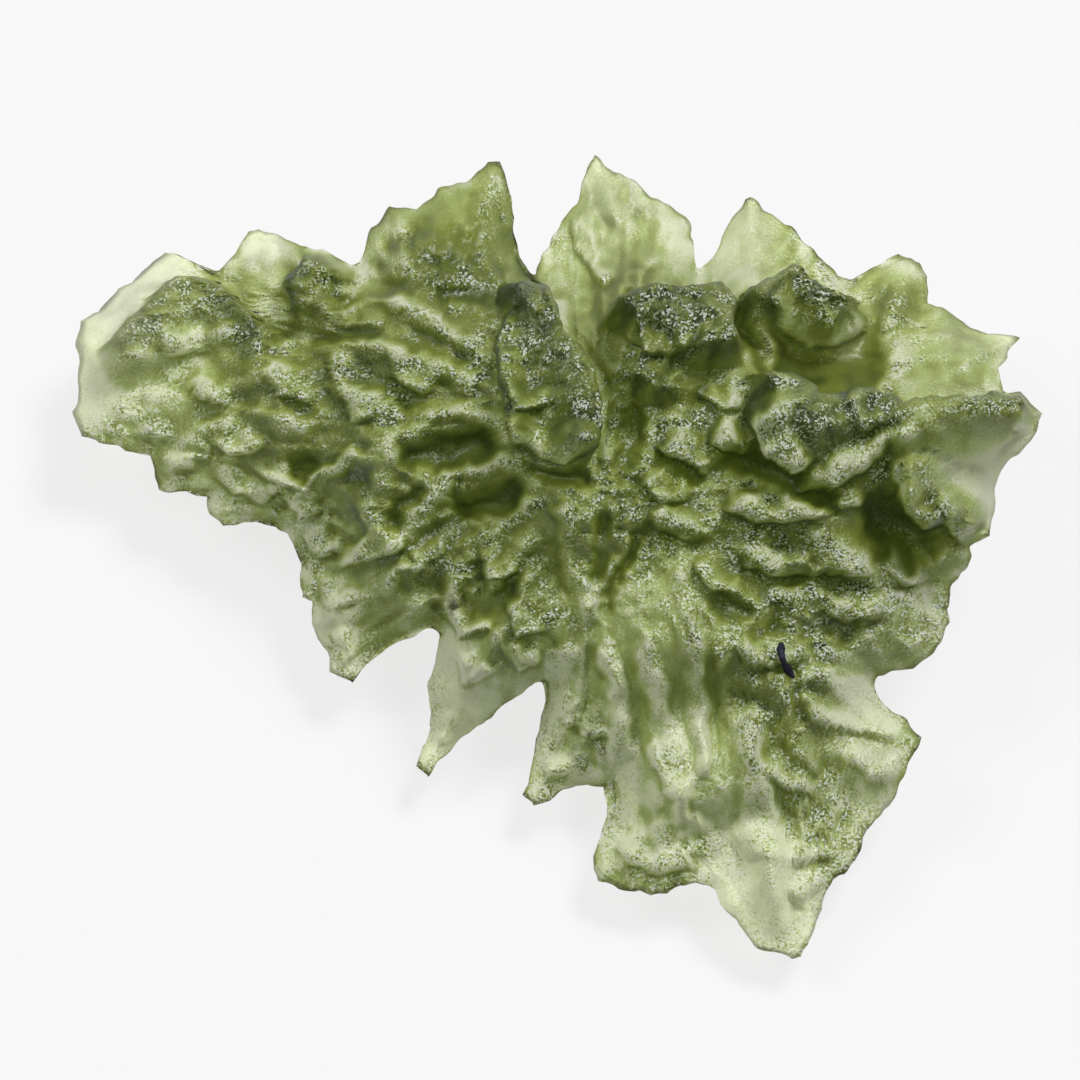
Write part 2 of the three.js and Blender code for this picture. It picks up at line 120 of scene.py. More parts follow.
# [x, y, level, half]: height of the stone's middle over the floor, and thickness of its front.
LEVELS = [
  [75, 370, 3.2, 1.2], [150, 300, 3.8, 1.4], [161, 250, 3.4, 1.0], [256, 228, 3.8, 1.1],
  [262, 285, 3.6, 1.3], [215, 440, 3.2, 2.6], [320, 255, 5.6, 2.0], [490, 165, 6.4, 1.6],
  [450, 240, 6.2, 2.4], [593, 155, 5.2, 1.2], [625, 245, 4.8, 1.5], [560, 262, 4.8, 1.2],
  [751, 197, 4.6, 1.1], [740, 258, 4.6, 1.2], [905, 250, 5.0, 1.4], [860, 290, 4.8, 1.6],
  [1020, 337, 5.2, 1.2], [920, 340, 5.0, 1.8], [1040, 416, 7.4, 1.8], [960, 430, 7.0, 2.6],
  [985, 520, 5.8, 2.0], [948, 620, 4.6, 2.0], [916, 735, 3.2, 1.7], [860, 840, 2.2, 1.4],
  [790, 950, 1.4, 1.0], [740, 860, 2.0, 1.3], [600, 870, 1.6, 1.4], [528, 800, 1.6, 1.4],
  [425, 770, 1.6, 1.3], [345, 675, 2.0, 1.4], [300, 580, 2.6, 1.8], [225, 520, 2.8, 1.7],
  [160, 485, 2.8, 1.6], [600, 480, 5.2, 5.0], [530, 370, 6.0, 4.4], [680, 370, 6.2, 4.4],
  [820, 350, 5.2, 2.4], [800, 450, 6.0, 4.2], [400, 440, 4.6, 4.2], [300, 420, 4.0, 3.2],
  [400, 320, 5.4, 3.8], [700, 600, 4.4, 4.4], [800, 640, 4.0, 3.6], [700, 750, 3.0, 2.7],
  [520, 600, 4.0, 3.8], [440, 560, 3.6, 3.4], [650, 292, 7.4, 3.8], [706, 292, 7.2, 3.6],
  [532, 294, 7.2, 3.6]
]

print("rim corners:", len(RIM), "levels:", len(LEVELS))

# %% Crests, ribs, pits and grooves
# A crest is steep on the side of its short reach. Pits and grooves have depths for heights.
CRESTS = [
  line(1.8, 70, 10, 40, [[84, 352], [130, 315], [175, 274], [211, 280], [240, 300], [262, 322],
    [300, 334]]),
  line(1.8, 70, 10, 30, [[298, 334], [289, 300], [288, 272], [313, 248], [345, 262], [361, 268]]),
  line(2.6, 80, 11, 30, [[500, 306], [516, 288], [546, 284], [562, 322], [578, 349], [591, 371],
    [596, 393], [598, 429], [588, 466]]),
  line(1.5, 14, 52, 30, [[512, 296], [500, 340], [498, 380], [505, 420], [515, 458]]),
  line(3.2, 110, 11, 30, [[604, 322], [618, 299], [640, 287], [656, 284], [705, 289], [719, 285],
    [728, 298], [737, 330], [742, 366]]),
  line(2.4, 12, 75, 30, [[616, 299], [628, 325], [638, 348], [634, 372], [624, 404]]),
  line(3.0, 50, 11, 30, [[731, 306], [773, 273], [804, 268], [817, 280], [828, 290], [851, 296],
    [868, 316]]),
  line(3.0, 70, 10, 30, [[738, 374], [760, 374], [790, 372], [805, 383], [815, 396], [840, 394],
    [855, 386], [870, 383], [880, 392], [900, 402], [928, 398], [958, 396], [1000, 393],
    [1019, 393], [1036, 412]]),
  line(2.0, 60, 10, 25, [[988, 538], [960, 522], [925, 526], [905, 515], [898, 480], [903, 442]])
]

RIBS = [
  strip(0.6, 18, 20, [[592, 464], [555, 462], [525, 452], [505, 432], [478, 410], [445, 408],
    [412, 420], [396, 440], [380, 460], [372, 480]]),
  strip(0.8, 20, 25, [[550, 494], [528, 478], [500, 466], [468, 468], [446, 486], [424, 512],
    [392, 542], [352, 564], [320, 594]]),
  strip(0.6, 16, 20, [[545, 496], [524, 516], [498, 534], [472, 547], [448, 562]]),
  strip(0.7, 16, 25, [[470, 548], [457, 572], [450, 602], [446, 632], [440, 680], [437, 720],
    [424, 770]]),
  strip(0.6, 16, 20, [[546, 528], [518, 546], [498, 572], [478, 592]]),
  strip(0.55, 16, 20, [[530, 560], [526, 600], [508, 626], [484, 652]]),
  strip(0.8, 17, 25, [[560, 496], [566, 540], [574, 579], [585, 605], [596, 628]]),
  strip(0.7, 18, 25, [[598, 634], [612, 670], [618, 705], [616, 745], [606, 770]]),
  strip(0.7, 20, 25, [[562, 632], [557, 680], [553, 720], [545, 760], [528, 800]]),
  strip(0.6, 16, 25, [[636, 622], [648, 665], [660, 700], [668, 735], [676, 780], [682, 826]]),
  strip(0.6, 16, 25, [[668, 554], [680, 590], [688, 630], [697, 670], [700, 720], [700, 780]]),
  strip(0.8, 26, 30, [[744, 696], [750, 760], [756, 800], [762, 840], [775, 900], [789, 950]]),
  strip(0.7, 18, 25, [[628, 754], [622, 800], [610, 840], [597, 872]]),
  strip(0.7, 18, 25, [[698, 532], [718, 514], [745, 506], [785, 504], [834, 518]]),
  strip(0.8, 17, 25, [[792, 492], [820, 475], [850, 458], [880, 449], [920, 440]]),
  strip(1.1, 29, 20, [[792, 382], [774, 418], [781, 464]]),
  strip(0.8, 20, 20, [[768, 378], [735, 394], [722, 424], [727, 454]]),
  strip(0.7, 24, 20, [[672, 400], [674, 432], [692, 458]]),
  strip(0.5, 14, 12, [[600, 470], [612, 432], [624, 398]]),
  strip(0.55, 16, 18, [[636, 472], [664, 487], [696, 502]]),
  strip(0.55, 16, 18, [[646, 506], [690, 518], [714, 540]]),
  strip(0.8, 18, 25, [[788, 668], [830, 680], [852, 688], [880, 712], [914, 736]]),
  strip(0.7, 20, 25, [[790, 530], [822, 546], [852, 566], [900, 590]]),
  strip(0.6, 24, 20, [[738, 532], [758, 560], [786, 572]]),
  strip(0.6, 22, 25, [[760, 598], [820, 604], [880, 602], [934, 610]]),
  strip(0.5, 20, 25, [[720, 640], [770, 650], [840, 655], [900, 650]]),
  strip(0.6, 18, 25, [[372, 296], [410, 308], [440, 328], [470, 345], [500, 372]]),
  strip(0.6, 18, 25, [[326, 354], [380, 348], [430, 368], [486, 388]]),
  strip(0.55, 18, 25, [[180, 388], [250, 378], [320, 372], [360, 400], [405, 404]]),
  strip(0.5, 18, 25, [[90, 366], [140, 358], [190, 340], [246, 330]]),
  strip(0.55, 18, 25, [[150, 462], [200, 430], [260, 422], [324, 430]]),
  strip(0.55, 14, 20, [[228, 506], [280, 484], [308, 490], [334, 470], [366, 446]]),
  strip(0.6, 16, 20, [[338, 668], [350, 620], [375, 590], [414, 568]]),
  strip(0.6, 15, 20, [[262, 470], [300, 520], [330, 540]]),
  strip(0.6, 16, 25, [[494, 162], [492, 205], [488, 270]]),
  strip(0.5, 16, 25, [[396, 208], [400, 250], [410, 288]]),
  strip(0.6, 18, 25, [[594, 156], [612, 200], [640, 250], [655, 280]]),
  strip(0.5, 18, 25, [[752, 198], [752, 240], [742, 290]]),
  strip(0.5, 20, 25, [[903, 252], [900, 300], [880, 340]]),
  strip(0.5, 20, 25, [[1018, 338], [970, 350], [930, 370]])
]

PITS = [
  strip(0.8, 18, 15, [[448, 512], [490, 502], [526, 494]]),
  strip(1.1, 24, 20, [[394, 460], [450, 454], [502, 438]]),
  strip(0.8, 18, 12, [[280, 472], [326, 460]]),
  strip(0.5, 15, 10, [[342, 484], [378, 476]]),
  strip(0.6, 14, 20, [[516, 476], [560, 478], [596, 474]]),
  strip(0.5, 10, 15, [[650, 454], [680, 466], [704, 484]]),
  strip(1.2, 19, 20, [[714, 456], [760, 468], [790, 482], [812, 494], [846, 510]]),
  strip(1.5, 42, 30, [[845, 502], [900, 528], [930, 548], [950, 568]]),
  strip(1.5, 42, 30, [[760, 350], [830, 364], [892, 358]]),
  strip(0.5, 14, 20, [[330, 312], [365, 292], [405, 286]]),
  strip(0.5, 12, 20, [[300, 338], [350, 336], [390, 326]]),
  strip(0.45, 12, 15, [[706, 596], [735, 608], [752, 622]]),
  strip(0.5, 16, 15, [[520, 576], [490, 605], [462, 622]]),
  strip(0.45, 12, 15, [[382, 528], [410, 505], [428, 482]]),
  strip(0.45, 10, 20, [[642, 524], [625, 570], [610, 590], [596, 624]]),
  strip(0.4, 18, 15, [[396, 590], [430, 588], [452, 578]])
]

GROOVES = [
  strip(0.12, 12, 20, [[556, 306], [585, 352], [600, 385], [608, 414], [603, 444]]),
  strip(0.6, 13, 15, [[731, 302], [748, 335], [760, 360], [774, 376]]),
  strip(0.5, 12, 20, [[430, 290], [470, 299], [520, 293]]),
  strip(0.22, 13, 20, [[700, 594], [708, 660], [712, 740], [715, 790]]),
  strip(0.25, 15, 20, [[640, 682], [640, 740], [634, 790]]),
  strip(0.35, 11, 20, [[592, 634], [588, 700], [575, 746]]),
  strip(0.4, 14, 15, [[630, 400], [630, 440], [624, 476]]),
  strip(0.4, 16, 20, [[600, 500], [604, 550], [588, 590]]),
  strip(0.4, 18, 20, [[390, 470], [404, 486], [392, 500]])
]

# Tips of the teeth. The back has one low rib to each, from near the hub.
TEETH = [
  [161, 248], [256, 225], [313, 246], [490, 160], [593, 152], [751, 195], [902, 248], [1020, 337],
  [1040, 416], [988, 535], [948, 620], [916, 735], [788, 956], [600, 877], [528, 803], [425, 772],
  [350, 680], [225, 527], [160, 490], [75, 380]
]

BACK_RIB_START = 0.3
BACK_RIBS = [
  strip(0.7, 26, 40, [HUB_BACK + BACK_RIB_START * (np.array(tip) - HUB_BACK), tip]) for tip in TEETH
]
print("crests:", len(CRESTS), "ribs:", len(RIBS), "pits and grooves:", len(PITS + GROOVES))

# %% Pale, dark and even places
# These lists change the colour and not the shape, so a height is a strength here. CLEAR makes
# the glass paler, DENSE makes it darker, and EVEN calms the thin far teeth.
CLEAR = [
  strip(1.1, 58, 30, [[75, 440], [75, 350], [110, 290], [160, 250], [200, 270]]),
  strip(0.7, 45, 30, [[225, 265], [256, 228], [300, 262]]),
  strip(0.35, 60, 25, [[585, 140], [606, 200], [590, 290]]),
  strip(0.45, 60, 25, [[630, 160], [690, 215], [690, 280]]),
  strip(0.50, 60, 25, [[750, 180], [752, 235], [735, 300]]),
  strip(0.35, 40, 20, [[790, 210], [820, 255]]),
  strip(0.25, 40, 20, [[903, 245], [930, 290]]),
  strip(0.30, 45, 25, [[1025, 330], [970, 340], [925, 330]]),
  strip(1.0, 80, 30, [[880, 440], [940, 450], [990, 480], [1040, 420]]),
  strip(0.35, 60, 30, [[760, 330], [830, 310], [880, 330]]),
  strip(0.75, 130, 60, [[600, 540], [640, 660], [690, 770], [740, 850]]),
  strip(0.35, 60, 40, [[540, 650], [560, 740], [600, 850]]),
  strip(0.5, 60, 30, [[90, 400], [170, 370], [230, 330]]),
  strip(1.4, 80, 50, [[690, 830], [750, 860], [800, 990]]),
  strip(0.60, 70, 40, [[800, 690], [870, 750], [850, 830]]),
  strip(0.72, 45, 20, [[320, 590], [336, 650], [350, 690]]),
  strip(0.85, 50, 30, [[440, 620], [470, 680], [430, 780]]),
  strip(0.75, 13, 20, [[552, 290], [568, 330], [590, 375], [601, 420], [597, 470]]),
  strip(0.8, 8, 6, [[914, 588], [928, 612], [942, 633]]),
  strip(0.7, 18, 10, [[812, 704], [850, 716], [900, 736]]),
  strip(0.6, 12, 10, [[282, 508], [312, 508]]),
  strip(0.7, 35, 15, [[668, 800], [748, 815]]),
  strip(0.5, 14, 10, [[748, 700], [750, 800]]),
  strip(0.5, 12, 10, [[796, 484], [850, 458], [900, 436]])
]

DENSE = [
  strip(0.36, 60, 30, [[400, 210], [440, 250], [490, 280], [500, 170]]),
  strip(0.16, 40, 20, [[880, 270], [890, 330]]),
  strip(0.12, 60, 30, [[840, 500], [900, 530], [950, 570]]),
  strip(0.16, 60, 30, [[600, 160], [620, 290]]),
  strip(0.22, 55, 30, [[760, 190], [760, 290]]),
  strip(0.40, 50, 30, [[895, 265], [900, 340]]),
  strip(0.21, 50, 25, [[930, 330], [1010, 340]]),
  strip(0.12, 50, 25, [[220, 265], [300, 265]]),
  strip(0.35, 6, 10, [[758, 601], [775, 603], [792, 612]]),
  strip(0.35, 5, 10, [[795, 618], [815, 621], [842, 620]]),
  strip(0.35, 8, 8, [[708, 602], [722, 612], [738, 620]]),
  strip(0.30, 5, 8, [[846, 622], [872, 619]]),
  strip(0.25, 7, 12, [[798, 640], [830, 646], [860, 650]])
]

EVEN = [
  strip(1.0, 60, 20, [[390, 230], [450, 190], [480, 270]]),
  strip(1.0, 70, 20, [[590, 150], [610, 220], [640, 270]]),
  strip(1.0, 55, 20, [[745, 190], [745, 260], [700, 280]]),
  strip(1.0, 60, 20, [[890, 250], [930, 320], [1030, 350]]),
  strip(0.8, 45, 20, [[225, 265], [300, 265]]),
  strip(0.8, 60, 20, [[100, 350], [130, 290], [190, 270]]),
  strip(0.8, 45, 20, [[830, 355], [900, 350]])
]

print("pale:", len(CLEAR), "dark:", len(DENSE), "even:", len(EVEN))

# %% Knobs
LOBES = [
  lobe(1.3, 46, [[750, 416], [760, 452], [783, 472], [806, 458]], narrow=10),
  lobe(0.9, 26, [[788, 478], [798, 491], [816, 491], [850, 474], [884, 458]], narrow=9),
  lobe(0.6, 22, [[818, 494], [840, 511], [866, 498]], fade=10),
  lobe(0.9, 32, [[652, 446], [662, 457], [680, 460], [702, 480]], narrow=9),
  lobe(0.8, 30, [[702, 434], [718, 450], [735, 456], [756, 442]], narrow=9),
  lobe(0.9, 38, [[504, 416], [514, 444], [535, 457], [565, 462], [592, 450]], narrow=10, fade=14),
  lobe(0.6, 14, [[256, 466], [282, 484], [310, 489], [324, 468]]),
  lobe(0.6, 26, [[328, 356], [340, 392], [354, 418], [376, 422]]),
  lobe(0.5, 24, [[384, 350], [396, 376], [416, 392], [440, 388]]),
  lobe(0.5, 24, [[262, 372], [280, 396], [306, 402], [322, 388]]),
  lobe(0.5, 22, [[186, 372], [204, 396], [230, 404]]),
  lobe(0.6, 24, [[206, 438], [230, 452], [262, 448]]),
  lobe(0.7, 24, [[722, 512], [750, 521], [792, 523], [838, 512]], narrow=9),
  lobe(0.8, 28, [[884, 462], [898, 496], [920, 524], [946, 516]], narrow=9),
  lobe(0.7, 26, [[934, 486], [944, 528], [962, 546], [980, 516]], narrow=9),
  lobe(0.6, 26, [[738, 566], [762, 574], [796, 572], [824, 578]]),
  lobe(0.5, 24, [[800, 560], [836, 576], [872, 572]]),
  lobe(0.6, 24, [[820, 610], [846, 624], [880, 620]]),
  lobe(0.5, 30, [[800, 718], [830, 724], [862, 730], [902, 738]]),
  lobe(0.5, 24, [[350, 500], [372, 530], [352, 566]]),
  lobe(0.6, 22, [[478, 546], [488, 580], [520, 566]]),
  lobe(0.5, 22, [[640, 478], [660, 500], [690, 500]]),
  lobe(0.6, 24, [[646, 520], [668, 526], [694, 545]]),
  lobe(0.5, 22, [[280, 496], [300, 519], [324, 508]]),
  lobe(0.5, 22, [[338, 570], [372, 562], [410, 545]]),
  lobe(0.5, 22, [[394, 574], [422, 568], [454, 549]]),
  lobe(0.5, 22, [[328, 634], [350, 656], [372, 640]], fade=10),
  lobe(0.7, 26, [[772, 300], [786, 328], [812, 348], [846, 340], [866, 326]], narrow=9),
  lobe(0.6, 24, [[618, 334], [640, 354], [668, 358], [692, 342]], narrow=9),
  lobe(0.5, 20, [[508, 352], [504, 384], [520, 410], [548, 404]]),
  lobe(0.35, 30, [[724, 824], [744, 852], [792, 860], [838, 848]], narrow=9, fade=14),
  lobe(0.35, 24, [[782, 884], [802, 898], [836, 880]], fade=14),
  lobe(0.4, 20, [[214, 470], [236, 494], [262, 500], [282, 486]]),
  lobe(0.4, 20, [[104, 428], [118, 452], [150, 470], [196, 470]]),
  lobe(0.5, 22, [[300, 530], [318, 556], [346, 552]]),
  lobe(0.45, 22, [[312, 590], [336, 610], [366, 598]]),
  lobe(0.5, 22, [[560, 700], [580, 735], [606, 730]]),
  lobe(0.5, 24, [[560, 780], [590, 800], [618, 790]]),
  lobe(0.5, 24, [[690, 560], [712, 590], [740, 592]]),
  lobe(0.5, 24, [[730, 640], [752, 668], [790, 664]]),
  lobe(0.5, 24, [[880, 556], [902, 584], [930, 580]]),
  lobe(0.5, 24, [[760, 760], [784, 790], [816, 788]]),
  lobe(0.6, 26, [[700, 392], [716, 412], [742, 408]], narrow=9),
  lobe(0.6, 24, [[838, 404], [856, 436], [884, 430]], narrow=9),
  lobe(0.5, 20, [[1000, 420], [1016, 440], [1030, 428]]),
  lobe(0.4, 26, [[612, 846], [650, 868], [698, 862]]),
  lobe(0.5, 24, [[838, 750], [864, 778], [902, 782]]),
  lobe(0.5, 24, [[640, 738], [660, 792], [690, 796]]),
  lobe(0.5, 24, [[150, 330], [172, 352], [204, 350]]),
  lobe(0.4, 22, [[572, 210], [580, 250], [602, 284]]),
  lobe(0.5, 22, [[452, 648], [468, 684], [500, 668]]),
  lobe(0.5, 22, [[430, 716], [444, 744], [468, 730]]),
  lobe(0.5, 22, [[504, 596], [518, 636], [548, 630]]),
  lobe(0.5, 22, [[548, 690], [564, 728], [596, 722]]),
  lobe(0.4, 22, [[532, 744], [548, 776], [580, 770]]),
  lobe(0.5, 22, [[440, 600], [462, 634], [492, 626]]),
  lobe(0.5, 22, [[500, 640], [520, 672], [546, 660]])
]

print("knobs:", len(LOBES))

# %% Sugary places with painted glints
# Where the skin is more sugary than elsewhere and carries more painted glints. A height is a strength here
# too.
SUGAR_AND_GLINT_PLACES = [
  strip(0.7, 16, 8, [[470, 330], [484, 368]]),
  strip(0.6, 12, 8, [[516, 350], [540, 342], [556, 366]]),
  strip(0.6, 12, 8, [[506, 372], [508, 420]]),
  strip(0.7, 14, 8, [[362, 366], [374, 376]]),
  strip(0.7, 14, 8, [[346, 362], [352, 416]]),
  strip(0.6, 12, 8, [[392, 360], [404, 370]]),
  strip(0.9, 26, 10, [[666, 412], [690, 462]]),
  strip(0.9, 24, 10, [[768, 402], [800, 384]]),
  strip(0.6, 12, 8, [[604, 450], [616, 416]]),
  strip(0.7, 12, 8, [[565, 500], [567, 556]]),
  strip(0.9, 26, 10, [[750, 526], [776, 560]]),
  strip(0.7, 14, 8, [[796, 530], [834, 544]]),
  strip(0.7, 16, 8, [[842, 584], [872, 592]]),
  strip(0.7, 14, 8, [[818, 606], [836, 614]]),
  strip(0.7, 14, 8, [[560, 414], [592, 414]]),
  strip(0.7, 12, 8, [[576, 450], [588, 438]]),
  strip(0.7, 14, 8, [[656, 746], [672, 788]]),
  strip(0.7, 12, 8, [[744, 716], [752, 770]]),
  strip(0.7, 12, 8, [[646, 640], [658, 680]]),
  strip(0.8, 22, 10, [[930, 476], [968, 540]]),
  strip(0.8, 20, 10, [[860, 392], [872, 440]]),
  strip(0.7, 20, 10, [[650, 300], [700, 330]]),
  strip(0.7, 14, 8, [[456, 626], [480, 634]]),
  strip(0.6, 16, 10, [[520, 610], [600, 622]]),
  strip(0.7, 14, 8, [[590, 690], [600, 760]]),
  strip(0.7, 10, 8, [[684, 606], [700, 670]]),
  strip(0.5, 14, 8, [[300, 540], [330, 600]]),
  strip(0.7, 12, 8, [[410, 572], [470, 560]]),
  strip(0.6, 12, 8, [[350, 470], [370, 500]]),
  strip(0.7, 16, 8, [[326, 640], [350, 680]]),
  strip(0.7, 9, 8, [[350, 566], [410, 545]]),
  strip(0.7, 9, 8, [[470, 545], [520, 520], [552, 500]]),
  strip(0.7, 9, 8, [[400, 440], [440, 428]]),
  strip(0.6, 10, 8, [[452, 478], [500, 466]]),
  strip(0.7, 20, 10, [[790, 290], [840, 320]]),
  strip(1.5, 22, 14, [[925, 404], [975, 398], [1015, 412]]),
  strip(1.5, 22, 12, [[905, 462], [930, 488], [958, 512]]),
  strip(1.0, 22, 12, [[865, 470], [892, 486]])
]
print("sugary places:", len(SUGAR_AND_GLINT_PLACES))

# %% [markdown]
# ## Measuring the drawing
#
# Everything below works on whole arrays of points at once.


# %% Distances and line features
def ease(x):
    """3x^2 - 2x^3 between 0 and 1: a ramp that starts and ends level."""
    x = np.clip(x, 0.0, 1.0)
    return x * x * (3.0 - 2.0 * x)


def nearest(path, x, y):
    """Distance to the path, side (+1 right, -1 left), length walked to the foot, whole length."""
    gap = np.full(x.shape, np.inf)
    side = np.ones(x.shape)
    walked = np.zeros(x.shape)
    before = 0.0
    for a, b in zip(path[:-1], path[1:]):
        d = b - a
        length = np.hypot(*d)
        t = np.clip(((x - a[0]) * d[0] + (y - a[1]) * d[1]) / length**2, 0.0, 1.0)
        ox, oy = x - a[0] - t * d[0], y - a[1] - t * d[1]
        here = np.hypot(ox, oy)
        closer = here < gap
        gap = np.where(closer, here, gap)
        side = np.where(closer, np.where(d[0] * oy - d[1] * ox < 0.0, -1.0, 1.0), side)
        walked = np.where(closer, before + t * length, walked)
        before += length
    return gap, side, walked, before


def relief(feature, x, y):
    """height (1 - (distance / reach)^2)^2, eased to nothing at both ends of the path."""
    height, right, left, fade, path = feature
    out = np.zeros(x.shape)
    low, high = path.min(0) - max(right, left), path.max(0) + max(right, left)
    near = (x > low[0]) & (x < high[0]) & (y > low[1]) & (y < high[1])
    if not near.any():
        return out
    gap, side, walked, length = nearest(path, x[near], y[near])
    across = np.clip(gap / np.where(side > 0.0, right, left), 0.0, 1.0)
    ends = np.minimum(walked, length - walked) / fade
    out[near] = height * (1.0 - across**2) ** 2 * ease(ends)
    return out


def tallest(features, x, y):
    """The highest of a list of line features at every point."""
    return np.max([relief(feature, x, y) for feature in features], axis=0)


# %% Level table and noise
LATTICE = 256  # the noises repeat after this many cells
SEEDS = {"front": 20, "fibre": 31, "back": 40, "edge": 70, "jags": 80, "ribs": 90}  # of the noises
BLEND_REACH = 40.0  # sheet steps, how softly the level table is blended
MEAN_SCOOP = 0.45  # about the mean of the doubled squared distance, so that scoops don't add up


def level_at(x, y):
    """Level and half thickness: each table entry weighs 1 / (distance^2 + reach^2)^2."""
    table = np.array(LEVELS, dtype=float)
    gaps = (x[..., None] - table[:, 0]) ** 2 + (y[..., None] - table[:, 1]) ** 2
    weights = (gaps + BLEND_REACH**2) ** -2.0
    weights /= weights.sum(-1, keepdims=True)
    return weights @ table[:, 2], weights @ table[:, 3]


def value_noise(x, y, seed):
    """Random numbers from -1 to 1 on the whole-number lattice, blended with an eased ramp."""
    xi, yi = np.floor(x).astype(int), np.floor(y).astype(int)
    fx, fy = ease(x - xi), ease(y - yi)
    table = np.random.default_rng(seed).uniform(-1.0, 1.0, (LATTICE, LATTICE))
    column, row = xi % LATTICE, yi % LATTICE
    right, below = (xi + 1) % LATTICE, (yi + 1) % LATTICE
    upper = table[column, row] * (1 - fx) + table[right, row] * fx
    lower = table[column, below] * (1 - fx) + table[right, below] * fx
    return upper * (1 - fy) + lower * fy


def scoops(x, y, seed, around=LATTICE):
    """Squared distance to the nearest of one random point per cell: bowls parted by sharp ridges."""
    xi, yi = np.floor(x).astype(int), np.floor(y).astype(int)
    jitter = np.random.default_rng(seed).uniform(0.0, 1.0, (2, LATTICE, LATTICE))
    gap = np.full(x.shape, np.inf)
    for i in (-1, 0, 1):
        for j in (-1, 0, 1):
            px, py = jitter[:, (xi + i) % around, (yi + j) % LATTICE]
            gap = np.minimum(gap, (x - xi - i - px) ** 2 + (y - yi - j - py) ** 2)
    return 2.0 * gap - MEAN_SCOOP


print("noise cells before they repeat:", LATTICE)


# %% [markdown]
# ## Rim and rings
#
# The rim keeps every drawn corner. Rings of nodes shrink from the rim to the hub: straight
# spokes outside, an even fan inside. Rings about one hub are simple to lay out and to close, but
# they follow an undercut notch badly. About one front cell in seventy folds over, mostly there,
# and some nodes stand outside the rim, by 0.3 mm at most.


# %% Rim points and ring nodes
COARSE_RINGS = 24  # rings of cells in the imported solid
FINE_RINGS = 110  # rings of cells in this mesh
RING_STEP = 8  # every ring has this many nodes more than the one inside it
EDGE_BY_LENGTH = 0.6  # rim points shared out by length, the rest by angle
ENVELOPE_SPAN = np.radians(25.0)  # either side, smooths the inner rings
TURN_END = 0.55  # share of the radius where grid lines become straight spokes
LEAST_TURN = 1e-5  # radians between one rim point and the next, where the rim turns back


def angle_of(p):
    """Angle of sheet points round the hub."""
    return np.arctan2(HUB[1] - p[..., 1], p[..., 0] - HUB[0])


def rim_points(count):
    """Rim corners plus points between them, shared out by edge length and by turn."""
    corners = np.array(RIM, dtype=float)
    following = np.roll(corners, -1, axis=0)
    lengths = np.hypot(*(following - corners).T)
    turns = np.abs((angle_of(following) - angle_of(corners) + np.pi) % (2 * np.pi) - np.pi)
    weights = EDGE_BY_LENGTH * lengths / lengths.sum() + (1 - EDGE_BY_LENGTH) * turns / (2 * np.pi)
    steps = np.ones(len(corners), dtype=int)
    for _ in range(count - len(corners)):
        steps[np.argmax(weights / steps)] += 1
    parts = [
        a + (b - a) * (np.arange(n) / n)[:, None] for a, b, n in zip(corners, following, steps)
    ]
    return np.concatenate(parts)


def rim_table(points):
    """Rising angles, reaches, and a smooth envelope inside the rim, for looking up by angle."""
    angles = [float(angle_of(points[0]))]
    for value in angle_of(points)[1:]:
        step = (value - angles[-1] + np.pi) % (2 * np.pi) - np.pi
        angles.append(max(angles[-1] + step, angles[-1] + LEAST_TURN))
    angles = np.array(angles)
    reaches = np.hypot(*(points - HUB).T)
    gaps = np.abs((angles[:, None] - angles + np.pi) % (2 * np.pi) - np.pi)
    inside = gaps <= ENVELOPE_SPAN
    lowest = np.where(inside, reaches, np.inf).min(1)
    envelope = (inside * lowest).sum(1) / inside.sum(1)
    return angles, reaches, np.minimum(envelope, reaches)


def ring_grid(rings):
    """Sheet positions of a square grid of nodes wrapped into rings, before the notch pushes."""
    points = rim_points(RING_STEP * rings)
    angles, reaches, inner = rim_table(points)
    axis = np.arange(-rings, rings + 1)
    i, j = np.meshgrid(axis, axis)
    k = np.maximum(np.abs(i), np.abs(j))
    # Number of a node round its square ring, counted from the corner (k, -k), side by side.
    index = 7 * k + i
    index = np.where((i == -k) & (j > -k), 5 * k - j, index)
    index = np.where((j == k) & (i > -k), 3 * k - i, index)
    index = np.where((i == k) & (j < k), j + k, index)
    turn = index / np.maximum(RING_STEP * k, 1)
    s = k / rings
    full = 2 * np.pi
    ends = np.append(angles, angles[0] + full)
    rim_angle = np.interp(turn * len(points), np.arange(len(points) + 1), ends)
    even_angle = angles[0] + full * turn
    share = ease(s / TURN_END)
    angle = even_angle + (rim_angle - even_angle) * share
    looked = angles[0] + (angle - angles[0]) % full
    reach = np.interp(looked, ends, np.append(reaches, reaches[0]))
    core = np.interp(looked, ends, np.append(inner, inner[0]))
    radius = s * core + s * s * (reach - core)
    x = HUB[0] + radius * np.cos(angle)
    y = HUB[1] - radius * np.sin(angle)
    outer = k == rings
    x[outer], y[outer] = points[index[outer] % len(points)].T
    return x, y, outer, points


def pushed(x, y):
    """Slides sheet points sideways round each undercut notch."""
    px, py = x.copy(), y.copy()
    for at, by, reach in PUSHES:
        fall = np.exp(-((x - at[0]) ** 2 + (y - at[1]) ** 2) / reach**2)
        px += by[0] * fall
        py += by[1] * fall
    return px, py


print("cells of each skin:", (2 * FINE_RINGS) ** 2)
